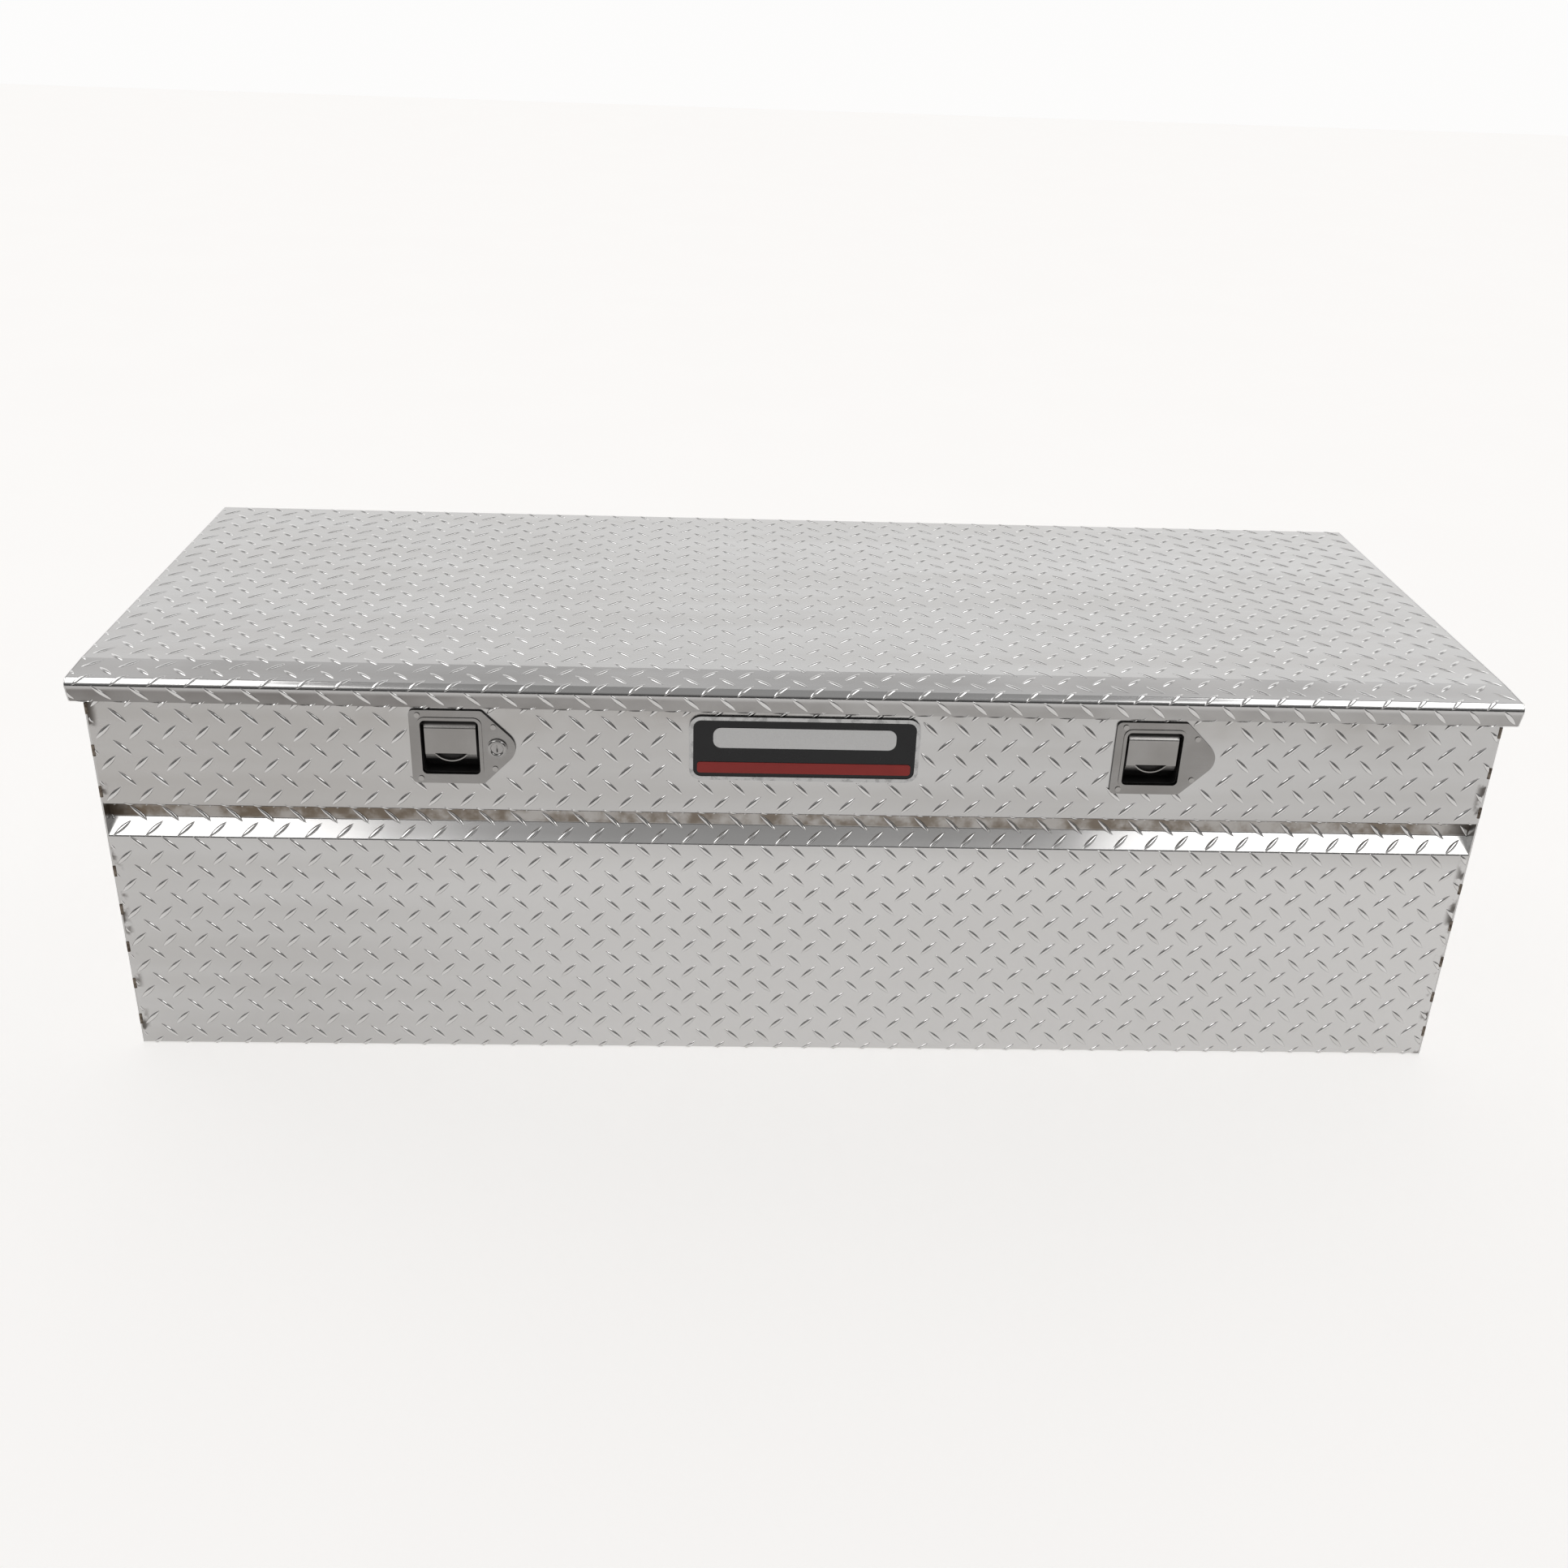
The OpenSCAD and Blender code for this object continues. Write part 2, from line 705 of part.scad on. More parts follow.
// The stainless plate and dish, pressed from one sheet
module latch_bezel(s) {
    inner_w = dish_width - 2 * dish_wall;
    inner_h = dish_height - 2 * dish_wall;
    inner_r = dish_corner - dish_wall;
    color("lightslategray") at_latch(s) difference() {
        union() {
            along_y(plate_front, plate_back) latch_plate_outline();
            along_y(plate_front - lip_rise, plate_front)
                round_rect(dish_width + 2 * lip_width, dish_height + 2 * lip_width, dish_corner + lip_width);
            along_y(plate_back, dish_depth) round_rect(dish_width, dish_height, dish_corner);
        }
        along_y(plate_front - lip_rise - cut, dish_depth - dish_wall) round_rect(inner_w, inner_h, inner_r);
        translate([-slot_half, 0, slot_down]) cube([2 * slot_half, dish_depth + cut, slot_up - slot_down]);
        translate([0, paddle_pivot[0], paddle_pivot[1]])
            rod_x(-dish_width / 2 - cut, dish_width / 2 + cut, paddle_pin_r + slip_gap);
        latch_rivet_holes(plate_front - cut, plate_back + cut);
        if (s < 0) translate([lock_x, 0, 0]) rod_y(plate_front - cut, cut, lock_r + slip_gap);
    }
}

module latch_gasket(s) {
    color("black") at_latch(s) difference() {
        along_y(plate_back, 0) latch_plate_outline();
        along_y(plate_back - cut, cut)
            round_rect(dish_width + 2 * cutout_gap, dish_height + 2 * cutout_gap, dish_corner + cutout_gap);
        latch_rivet_holes(plate_back - cut, cut);
        if (s < 0) translate([lock_x, 0, 0]) rod_y(plate_back - cut, cut, lock_r + slip_gap);
    }
}

module latch_rivets(s) {
    color("lightgray") at_latch(s) for (p = rivet_spots) translate([p[0], 0, p[1]]) {
        rod_y(plate_front, sheet, latch_rivet_r);
        rod_y(plate_front - latch_rivet_head, plate_front, latch_rivet_head_r);
        rod_y(sheet, sheet + latch_rivet_tail, latch_rivet_tail_r);
    }
}

// The channel behind the dish that carries the pawl
module latch_case(s) {
    flange = slot_up - slot_down + case_flange_foot + case_flange_head;
    color("silver") at_latch(s) difference() {
        union() {
            translate([-case_half, dish_depth, slot_down - case_flange_foot])
                cube([2 * case_half, case_sheet, flange]);
            for (x = [-case_half, case_half - case_sheet])
                translate([x, dish_depth, pawl_pivot[1] - case_foot])
                    cube([case_sheet, case_reach - dish_depth, case_foot + case_head]);
        }
        translate([-slot_half, dish_depth - cut, slot_down])
            cube([2 * slot_half, case_sheet + 2 * cut, slot_up - slot_down]);
        translate([0, pawl_pivot[0], pawl_pivot[1]])
            rod_x(-case_half - cut, case_half + cut, pawl_pin_r + slip_gap);
    }
}

// A half-moon, flat edge up
module half_moon(r, chord) {
    intersection() {
        circle(r = r);
        translate([-r, -r]) square([2 * r, r - chord]);
    }
}

// The paddle: a bent plate with a pressed finger scoop, two ears and a tongue to the rear
module paddle(s) {
    path = [
        [paddle_front + paddle_band_fall, paddle_top],
        [paddle_front, paddle_top - paddle_band],
        [paddle_front, paddle_foot + paddle_lip],
        [paddle_front + paddle_lip_fall, paddle_foot]
    ];
    scoop_z = paddle_top - scoop_drop + scoop_chord;
    scoop_back = paddle_front + scoop_depth;
    back = paddle_front + latch_sheet / 2;
    pivot_y = paddle_pivot[0];
    pivot_z = paddle_pivot[1];
    color("lightsteelblue") at_latch(s) difference() {
        union() {
            along_x(-paddle_half, paddle_half) folded(path, [paddle_bend, paddle_bend], latch_sheet);
            translate([0, 0, scoop_z]) along_y(back, scoop_back + scoop_wall)
                half_moon(scoop_r + scoop_wall, scoop_chord - scoop_wall);
            for (x = [-paddle_half, paddle_half - latch_sheet]) translate([x, 0, 0]) {
                translate([0, pivot_y, pivot_z]) rod_x(0, latch_sheet, paddle_ear_r);
                translate([0, back, pivot_z - paddle_ear]) cube([latch_sheet, pivot_y - back, paddle_ear]);
            }
            translate([-tongue_half, back, tongue_z])
                cube([2 * tongue_half, tongue_reach - back, tongue]);
        }
        translate([0, 0, scoop_z]) along_y(paddle_front - cut, scoop_back) half_moon(scoop_r, scoop_chord);
        translate([0, pivot_y, pivot_z])
            rod_x(-paddle_half - cut, paddle_half + cut, paddle_pin_r + running_gap);
    }
}

module paddle_pin(s) {
    half = dish_width / 2;
    color("gray") at_latch(s) translate([0, paddle_pivot[0], paddle_pivot[1]]) {
        rod_x(-half - pin_head, half + pin_head, paddle_pin_r);
        for (x = [-half - pin_head, half]) rod_x(x, x + pin_head, paddle_pin_r + 1);
    }
}

// The envelope of the torsion spring that closes the paddle
module paddle_spring(s) {
    color("dimgray") at_latch(s) translate([0, paddle_pivot[0], paddle_pivot[1]]) difference() {
        rod_x(spring_in, spring_out, spring_r);
        rod_x(spring_in - cut, spring_out + cut, spring_bore);
    }
}

// The pawl: hub, tail under the paddle's tongue, and the hook that faces the striker
module pawl(s) {
    y = pawl_pivot[0];
    z = pawl_pivot[1];
    tail_top = tongue_z - pawl_tail;
    tail_foot = tail_top - pawl_tail_height;
    stem_back = hook_reach - hook_depth;
    hook_foot = hook_top - hook_height;
    color("slategray") at_latch(s) difference() {
        union() {
            translate([0, y, z]) rod_x(-pawl_half, pawl_half, pawl_hub);
            along_x(-pawl_half, pawl_half) polygon([
                [tongue_reach - 2, tail_top], [y, tail_top], [y, tail_foot], [tongue_reach - 1, tail_foot + 2]
            ]);
            along_x(-pawl_half, pawl_half) polygon([
                [y - pawl_hub + 0.6, z], [stem_back - 6, hook_foot - 2], [stem_back - 3, hook_top],
                [stem_back, hook_top], [hook_reach, hook_foot + 2], [hook_reach, hook_foot],
                [stem_back, hook_foot], [stem_back, z]
            ]);
        }
        translate([0, y, z]) rod_x(-pawl_half - cut, pawl_half + cut, pawl_pin_r + running_gap);
    }
}

module pawl_pin(s) {
    end = case_half + pawl_pin_head;
    color("gray") at_latch(s) translate([0, pawl_pivot[0], pawl_pivot[1]]) {
        rod_x(-end, end, pawl_pin_r);
        for (x = [-end, case_half]) rod_x(x, x + pawl_pin_head, pawl_pin_r + pawl_pin_head);
    }
}

// The striker under the lid: a foot plate and a bent rod
module striker(s) {
    y = striker_bar[0];
    z = striker_bar[1];
    plate_z = stiffener_foot - latch_z - striker_plate;
    color("gray") at_latch(s) {
        translate([-striker_foot_half, y - striker_foot[0], plate_z])
            cube([2 * striker_foot_half, striker_foot[0] + striker_foot[1], striker_plate]);
        translate([0, y, z]) rod_x(-striker_half, striker_half, striker_r);
        for (x = [-striker_half, striker_half]) translate([x, y, z]) {
            sphere(r = striker_r);
            cylinder(h = plate_z - z + striker_plate / 2, r = striker_r);
        }
    }
}

// --- Lock ----------------------------------------------------------------

module at_lock() {
    at_latch(-1) translate([lock_x, 0, 0]) children();
}

module lock_housing() {
    color("lightgray") at_lock() difference() {
        union() {
            rod_y(plate_front - lock_flange, plate_front, lock_flange_r);
            rod_y(plate_front, lock_length, lock_r);
        }
        rod_y(plate_front - lock_flange - cut, lock_length + cut, lock_plug_r + running_gap);
    }
}

module lock_nut() {
    color("gold") at_lock() difference() {
        translate([0, sheet, 0]) rotate([-90, 0, 0]) cylinder(h = lock_nut_height, r = lock_nut_r, $fn = 6);
        rod_y(sheet - cut, sheet + lock_nut_height + cut, lock_r + slip_gap);
    }
}

module lock_plug() {
    face_y = plate_front - lock_flange + lock_face;
    color("silver") at_lock() difference() {
        union() {
            rod_y(face_y, lock_length + plug_end, lock_plug_r);
            rod_y(lock_length, lock_length + plug_end + cam_sheet, cam_stub_r);
        }
        translate([-key_slot[0] / 2, face_y - cut, -key_slot[1] / 2])
            cube([key_slot[0], key_slot[2] + cut, key_slot[1]]);
    }
}

// The cam on the plug's inner end, hanging down when unlocked
module lock_cam() {
    y = lock_length + plug_end;
    color("goldenrod") at_lock() difference() {
        union() {
            rod_y(y, y + cam_sheet, cam_boss_r);
            translate([-cam_half, y, -cam_length]) cube([2 * cam_half, cam_sheet, cam_length]);
        }
        rod_y(y - cut, y + cam_sheet + cut, cam_stub_r + slip_gap);
    }
}

// --- Badge ---------------------------------------------------------------

module at_badge() {
    translate([0, body_front, latch_z + badge_lift]) children();
}

// A plain plate with a raised rim
module badge_plate() {
    color([0.1, 0.1, 0.11]) at_badge() difference() {
        along_y(-badge_sheet - badge_rim_rise, 0) round_rect(badge_width, badge_height, badge_corner);
        along_y(-badge_sheet - badge_rim_rise - cut, -badge_sheet)
            round_rect(badge_width - 2 * badge_rim, badge_height - 2 * badge_rim, badge_corner - badge_rim);
    }
}

// A flat trim inside the badge's rim: its foot stands "lift" above the plate's edge
module badge_trim(lift, width, height, corner) {
    at_badge() translate([0, 0, lift + (height - badge_height) / 2])
        along_y(-badge_sheet - badge_strip_sheet, -badge_sheet) round_rect(width, height, corner);
}

module badge_strip() {
    color("firebrick")
        badge_trim(2 * badge_rim, badge_width - 4 * badge_rim, badge_strip_height, badge_strip_corner);
}

module badge_bar() {
    lift = badge_height - badge_bar_height - 3 * badge_rim;
    color("silver") badge_trim(lift, badge_width - 12 * badge_rim, badge_bar_height, badge_bar_corner);
}

front_panel();
rear_panel();
side_panel(-1);  // side_panel_left
side_panel(1);  // side_panel_right
floor_panel();
corner_welds();
rim_seal();
lid_skin();
lid_stiffener(stiffener_front_y);  // lid_stiffener_front
lid_stiffener(stiffener_rear_y);  // lid_stiffener_rear
hinge_leaf_body();
hinge_leaf_lid();
hinge_pin();
hinge_rivets_body();
hinge_rivets_lid();
strut_bracket_body(-1);  // strut_bracket_body_left
strut_bracket_body(1);  // strut_bracket_body_right
strut_stud(-1, strut_body_y, strut_body_z);  // strut_stud_body_left
strut_stud(1, strut_body_y, strut_body_z);  // strut_stud_body_right
strut_bracket_lid(-1);  // strut_bracket_lid_left
strut_bracket_lid(1);  // strut_bracket_lid_right
strut_stud(-1, strut_lid_y, strut_lid_z);  // strut_stud_lid_left
strut_stud(1, strut_lid_y, strut_lid_z);  // strut_stud_lid_right
strut_cylinder(-1);  // strut_cylinder_left
strut_cylinder(1);  // strut_cylinder_right
strut_rod(-1);  // strut_rod_left
strut_rod(1);  // strut_rod_right
latch_bezel(-1);  // latch_bezel_left
latch_bezel(1);  // latch_bezel_right
latch_gasket(-1);  // latch_gasket_left
latch_gasket(1);  // latch_gasket_right
latch_rivets(-1);  // latch_rivets_left
latch_rivets(1);  // latch_rivets_right
latch_case(-1);  // latch_case_left
latch_case(1);  // latch_case_right
paddle(-1);  // paddle_left
paddle(1);  // paddle_right
paddle_pin(-1);  // paddle_pin_left
paddle_pin(1);  // paddle_pin_right
paddle_spring(-1);  // paddle_spring_left
paddle_spring(1);  // paddle_spring_right
pawl(-1);  // pawl_left
pawl(1);  // pawl_right
pawl_pin(-1);  // pawl_pin_left
pawl_pin(1);  // pawl_pin_right
striker(-1);  // striker_left
striker(1);  // striker_right
lock_housing();
lock_nut();
lock_plug();
lock_cam();
badge_plate();
badge_bar();
badge_strip();
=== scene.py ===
import math

import bpy
from mathutils import Matrix, Vector


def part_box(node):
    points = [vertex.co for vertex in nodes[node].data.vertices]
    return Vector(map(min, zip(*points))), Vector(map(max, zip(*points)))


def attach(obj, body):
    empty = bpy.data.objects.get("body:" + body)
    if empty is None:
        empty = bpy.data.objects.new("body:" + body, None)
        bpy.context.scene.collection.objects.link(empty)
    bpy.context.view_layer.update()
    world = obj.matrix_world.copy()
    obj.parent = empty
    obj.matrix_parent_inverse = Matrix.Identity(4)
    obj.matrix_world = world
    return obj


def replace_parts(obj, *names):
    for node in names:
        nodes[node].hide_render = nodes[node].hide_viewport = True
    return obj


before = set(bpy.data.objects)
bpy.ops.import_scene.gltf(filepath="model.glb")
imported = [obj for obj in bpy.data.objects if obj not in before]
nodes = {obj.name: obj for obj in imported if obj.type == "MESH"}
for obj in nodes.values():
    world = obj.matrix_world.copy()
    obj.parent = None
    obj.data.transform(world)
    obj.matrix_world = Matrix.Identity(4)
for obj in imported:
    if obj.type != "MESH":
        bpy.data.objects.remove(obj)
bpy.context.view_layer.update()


# --- Folded body sheets ------------------------------------------------------
# The front and the rear of the chest are each one tread-plate sheet of bright aluminium, folded on a press
# brake: rim flange, wall and floor flange, and on the front a long groove. They're welded to the ends.

class Wire:
    """One output in a node tree. Sums, products and powers of it add Math nodes; node() adds any other."""

    def __init__(self, tree, socket=None):
        self.tree = tree
        self.socket = socket

    def node(self, kind, settings=None, inputs=None, out=0):
        """Adds a node: its type, its settings, the values or wires of its inputs, and the output it gives."""
        made = self.tree.nodes.new(kind)
        for name, value in (settings or {}).items():
            if name == "stops":
                ramp = made.color_ramp
                while len(ramp.elements) < len(value):
                    ramp.elements.new(1.0)
                for stop, (position, colour) in zip(ramp.elements, value):
                    stop.position, stop.color = position, colour
            else:
                setattr(made, name, value)
        for name, value in (inputs or {}).items():
            if isinstance(value, Wire):
                self.tree.links.new(value.socket, made.inputs[name])
            else:
                made.inputs[name].default_value = value
        return Wire(self.tree, made.outputs[out])

    def maths(self, operation, *values):
        return self.node("ShaderNodeMath", {"operation": operation}, dict(enumerate(values)))

    def vector(self, operation, *values):
        return self.node("ShaderNodeVectorMath", {"operation": operation}, dict(enumerate(values)))

    def between(self, low, high, ramp="SMOOTHSTEP"):
        """0 below low, 1 above high, and a smooth change in between."""
        bounds = {"Value": self, "From Min": low, "From Max": high}
        return self.node("ShaderNodeMapRange", {"interpolation_type": ramp}, bounds)

    def blend(self, first, second):
        """The first colour where this wire is 0, and the second where it is 1."""
        return self.node("ShaderNodeMix", {"data_type": "RGBA"}, {0: self, 6: first, 7: second}, out=2)

    def noise(self, scale, stretch=(1, 1, 1), detail=3.0, roughness=0.5):
        """Noise over the piece's own coordinates, in cycles per metre, stretched along the axes."""
        place = self.node("ShaderNodeTexCoord", out="Object")
        mapped = self.node("ShaderNodeMapping", None, {"Vector": place, "Scale": stretch})
        look = {"Vector": mapped, "Scale": scale, "Detail": detail, "Roughness": roughness}
        return self.node("ShaderNodeTexNoise", None, look)

    def position(self):
        """The three Object coordinates, each as a wire."""
        place = self.node("ShaderNodeTexCoord", out="Object")
        return [self.node("ShaderNodeSeparateXYZ", None, {0: place}, out=axis) for axis in range(3)]

    def __add__(self, other):
        return self.maths("ADD", self, other)

    def __sub__(self, other):
        return self.maths("SUBTRACT", self, other)

    def __rsub__(self, other):
        return self.maths("SUBTRACT", other, self)

    def __mul__(self, other):
        return self.maths("MULTIPLY", self, other)

    def __truediv__(self, other):
        return self.maths("DIVIDE", self, other)

    def __pow__(self, other):
        return self.maths("POWER", self, other)

    __radd__ = __add__
    __rmul__ = __mul__


def finish(name, look):
    """A material. look(wire) gives the shader's inputs by socket name; Height and Relief make a bump."""
    material = bpy.data.materials.new(name)
    material.use_nodes = True
    tree = material.node_tree
    tree.nodes.clear()
    shader = tree.nodes.new("ShaderNodeBsdfPrincipled")
    output = tree.nodes.new("ShaderNodeOutputMaterial")
    tree.links.new(shader.outputs["BSDF"], output.inputs["Surface"])
    wire = Wire(tree)
    sockets = look(wire)
    height = sockets.pop("Height", None)
    relief = sockets.pop("Relief", 0.001)
    if height is not None:
        bump = {"Height": height, "Distance": relief, "Strength": 1.0}
        sockets["Normal"] = wire.node("ShaderNodeBump", None, bump)
    for socket, value in sockets.items():
        if isinstance(value, Wire):
            tree.links.new(value.socket, shader.inputs[socket])
        else:
            shader.inputs[socket].default_value = value
    return material


def grey(level, warmth=0.0):
    """A grey that leans to red and away from blue by its warmth."""
    return (level * (1 + warmth), level, level * (1 - warmth), 1.0)


def rolled_sheet(wire, stretch, bright=0.51, smooth=0.20):
    """Bright rolled aluminium: fine streaks along the rolling direction, cloudy marks and a slow wave."""
    streaks = wire.noise(30, stretch, 6)
    clouds = wire.noise(5, detail=4)
    tone = clouds * 0.35 + streaks * 0.65
    dark, light = grey(bright * 0.91, 0.016), grey(bright * 1.07, 0.004)
    return {
        "Base Color": tone.between(0.30, 0.72).blend(dark, light),
        "Roughness": smooth - 0.05 + streaks * 0.08 + clouds * 0.06,
        "Metallic": 1.0,
        "Height": streaks * 0.010 + wire.noise(6, detail=1),
        "Relief": 0.0022,
    }


def lay_dirt_and_shade(wire, look, mask, colour, dull=0.35):
    """Lays a dark layer over a finish, real dirt in some places and painted shade in others: its colour, less
    metal and more roughness where the mask is 1.
    """
    look["Base Color"] = mask.blend(look["Base Color"], colour)
    look["Roughness"] = look["Roughness"] + mask * dull
    look["Metallic"] = 1.0 - mask * 0.55
    return look


along_x = (0.06, 1.0, 1.0)
along_y = (1.0, 0.06, 1.0)


def front_dirt_and_shade(wire):
    """Brown dirt on the groove's back wall, scorch by the corner welds and painted shade under the lid's
    nose.
    """
    x, y, z = wire.position()
    deep = y.between(groove_back - 0.005, groove_back - 0.001)
    inside = deep * z.between(groove_foot - 0.001, groove_foot + 0.002)
    blotches = wire.noise(38, detail=5, roughness=0.6).between(0.36, 0.64)
    edge = x.maths("ABSOLUTE", x).between(wall_half - 0.011, wall_half - 0.002)
    scorch = edge * wire.noise(26, detail=4, roughness=0.6).between(0.50, 0.60)
    corner = x.maths("ABSOLUTE", x).between(wall_half - 0.035, wall_half) * inside
    # Painted shade: a darker band on the front just under the lid's nose.
    tone_mask = z.between(0.36, 0.41) * wire.noise(9, detail=4).between(0.4, 0.7) * 0.22
    look = rolled_sheet(wire, along_x)
    rubbed = (1 - z.between(groove_foot - 0.05, groove_foot)) * (0.15 + x.between(-0.65, -0.10) * 0.85)
    look["Base Color"] = (rubbed * 0.8).blend(look["Base Color"], grey(0.62, 0.008))
    dull = (1 - x.between(-0.65, -0.20)) * z.between(shelf_edge, groove_top) * 0.14
    brown_dirt_and_shade = (0.15, 0.105, 0.06, 1)
    brown_scorch = (0.045, 0.030, 0.018, 1)
    look = lay_dirt_and_shade(wire, look, inside * (0.25 + blotches * 0.5) + tone_mask + dull, brown_dirt_and_shade)
    return lay_dirt_and_shade(wire, look, scorch * 0.8 + corner * 0.7, brown_scorch)


front_low, front_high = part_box("front_panel")
rear_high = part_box("rear_panel")[1]
sheet = 0.0016
bend_r = 0.004
groove_bend = 0.0024
front_y = front_low.y
rear_y = rear_high.y
rim_z = front_high.z
wall_half = front_high.x
rim_width = 0.022
foot_width = 0.025
groove_top = 0.2925
groove_depth = 0.014
groove_back = front_y + groove_depth
groove_foot = 0.2736
shelf_edge = 0.2576
front_line = [
    (front_y + rim_width, rim_z), (front_y, rim_z), (front_y, groove_top), (groove_back, groove_top),
    (groove_back, groove_foot), (front_y, shelf_edge), (front_y, 0.0), (front_y + foot_width, 0.0),
]
front_bends = [bend_r, bend_r, groove_bend, groove_bend, bend_r, bend_r]
rear_line = [
    (rear_y - foot_width, 0.0), (rear_y, 0.0), (rear_y, rim_z), (rear_y - rim_width, rim_z),
]


def bent(line, radii, steps):
    """The points of a folded line in Y and Z, with an arc of its radius at each inner corner."""
    points = [Vector(line[0])]
    for before, corner, after, radius in zip(line, line[1:], line[2:], radii):
        before, corner, after = Vector(before), Vector(corner), Vector(after)
        come, go = (corner - before).normalized(), (after - corner).normalized()
        turn = come.angle_signed(go)
        reach = radius * math.tan(abs(turn) / 2)
        side = Vector((-come.y, come.x)) * (-1 if turn > 0 else 1)
        centre = corner - come * reach + side * radius
        spoke = -side * radius
        for step in range(steps + 1):
            points.append(centre + Matrix.Rotation(-turn * step / steps, 2) @ spoke)
    points.append(Vector(line[-1]))
    return points


def inward(points, depth):
    """The same line moved to its left by depth, mitred at each point."""
    sharpest = 0.3
    moved = []
    for i, point in enumerate(points):
        before, after = points[max(i - 1, 0)], points[min(i + 1, len(points) - 1)]
        come = (point - before).normalized() if i else (after - point).normalized()
        go = (after - point).normalized() if i < len(points) - 1 else come
        left = Vector((-come.y - go.y, come.x + go.x)).normalized()
        moved.append(point + left * depth / max(left.dot(Vector((-go.y, go.x))), sharpest))
    return moved


def new_piece(name, vertices, faces, material):
    mesh = bpy.data.meshes.new(name)
    mesh.from_pydata([tuple(v) for v in vertices], [], faces)
    mesh.validate()
    mesh.materials.append(material)
    piece = bpy.data.objects.new(name, mesh)
    bpy.context.scene.collection.objects.link(piece)
    return piece


def smooth(piece, sharp=math.radians(28)):
    """Rounds the shading over bends and leaves sharp edges and flats as they are."""
    for polygon in piece.data.polygons:
        polygon.use_smooth = True
    piece.data.set_sharp_from_angle(angle=sharp)
    normals = piece.modifiers.new("Normals", "WEIGHTED_NORMAL")
    normals.keep_sharp = True
    return piece


def settle(piece):
    """Turns a piece and its modifiers into a plain mesh."""
    graph = bpy.context.evaluated_depsgraph_get()
    mesh = bpy.data.meshes.new_from_object(piece.evaluated_get(graph))
    piece.modifiers.clear()
    piece.data = mesh
    return piece


def folded(name, outer, low, high, material):
    """A folded sheet along X: outer is its outer face in Y and Z, with the metal to its left."""
    inner = inward(outer, sheet)
    ring = outer + inner[::-1]
    count = len(ring)
    vertices = [(x, p.x, p.y) for x in (low, high) for p in ring]
    faces = [(i, (i + 1) % count, (i + 1) % count + count, i + count) for i in range(count)]
    for i in range(len(outer) - 1):
        far = count - 1 - i
        faces.append((far, far - 1, i + 1, i))
        faces.append((i + count, i + 1 + count, far - 1 + count, far + count))
    return new_piece(name, vertices, faces, material)


def cut_away(piece, boxes):
    """Cuts rectangular openings, each given by its low and high corner."""
    for low, high in boxes:
        spans = list(zip(low, high))
        corners = [(x, y, z) for x in spans[0] for y in spans[1] for z in spans[2]]
        sides = [(0, 1, 3, 2), (4, 6, 7, 5), (0, 4, 5, 1), (2, 3, 7, 6), (0, 2, 6, 4), (1, 5, 7, 3)]
        cutter = new_piece("cutter", corners, sides, piece.data.materials[0])
        opening = piece.modifiers.new("Opening", "BOOLEAN")
        opening.operation, opening.solver, opening.object = "DIFFERENCE", "EXACT", cutter
        settle(piece)
        bpy.data.objects.remove(cutter)
    return piece


case_low, case_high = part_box("latch_case_right")
plate_low, plate_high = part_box("latch_bezel_right")
latch_x = (case_low.x + case_high.x) / 2
latch_z = (plate_low.z + plate_high.z) / 2
cutout = Vector((0.0306, 0, 0.0311))
ahead, behind = Vector((0, 0.01, 0)), Vector((0, 0.005, 0))
openings = []
for side in (-1, 1):
    middle = Vector((side * latch_x, front_y, latch_z))
    openings.append((middle - cutout - ahead, middle + cutout + behind))

bend_steps = 8
bright_front = finish("tread_front", front_dirt_and_shade)
bright_sheet = finish("tread_sheet", lambda wire: rolled_sheet(wire, along_x))
bright_end = finish("tread_end", lambda wire: rolled_sheet(wire, along_y))

front_outer = bent(front_line, front_bends, bend_steps)
front_sheet = folded("front_sheet", front_outer, -wall_half, wall_half, bright_front)
smooth(cut_away(front_sheet, openings))
rear_bends = [bend_r, bend_r]
rear_outer = bent(rear_line, rear_bends, bend_steps)
rear_sheet = folded("rear_sheet", rear_outer, -wall_half, wall_half, bright_sheet)
smooth(rear_sheet)
for piece, node in ((front_sheet, "front_panel"), (rear_sheet, "rear_panel")):
    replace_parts(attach(piece, "chest"), node)


def give(material, *names):
    """Puts a finish on CAD nodes whose shape stays."""
    for name in names:
        mesh = nodes[name].data
        mesh.materials.clear()
        mesh.materials.append(material)


give(bright_end, "side_panel_left", "side_panel_right")
give(bright_sheet, "floor_panel")


# --- Tread lugs ----------------------------------------------------------------
# The lugs are rolled into the sheet with it: lens-shaped ridges about 24 mm long, in two directions that
# take turns. They run on over every bend, and the shear cuts through them at the edges of each sheet.

def lug_look(wire):
    """The lugs' rubbed tops are brighter and smoother than the sheet, and dirt stays round their feet."""
    rise = wire.node("ShaderNodeAttribute", {"attribute_name": "rise"}, out="Fac")
    foot = 1 - rise.between(0.02, 0.32)
    look = rolled_sheet(wire, (1, 1, 1), 0.62, 0.13)
    look["Relief"] = 0.0006
    return lay_dirt_and_shade(wire, look, foot * 0.45, (0.16, 0.14, 0.12, 1), 0.15)


def group_inputs(tree, sizes):
    """Adds a node group's named inputs, and gives each as a wire."""
    kinds = {float: "NodeSocketFloat", int: "NodeSocketInt", tuple: "NodeSocketVector"}
    tree.interface.new_socket("Geometry", in_out="OUTPUT", socket_type="NodeSocketGeometry")
    tree.interface.new_socket("Geometry", in_out="INPUT", socket_type="NodeSocketGeometry")
    for name, value in sizes.items():
        kind = kinds.get(type(value), "NodeSocketMaterial")
        tree.interface.new_socket(name, in_out="INPUT", socket_type=kind)
    group = tree.nodes.new("NodeGroupInput")
    return {output.name: Wire(tree, output) for output in group.outputs if output.name}


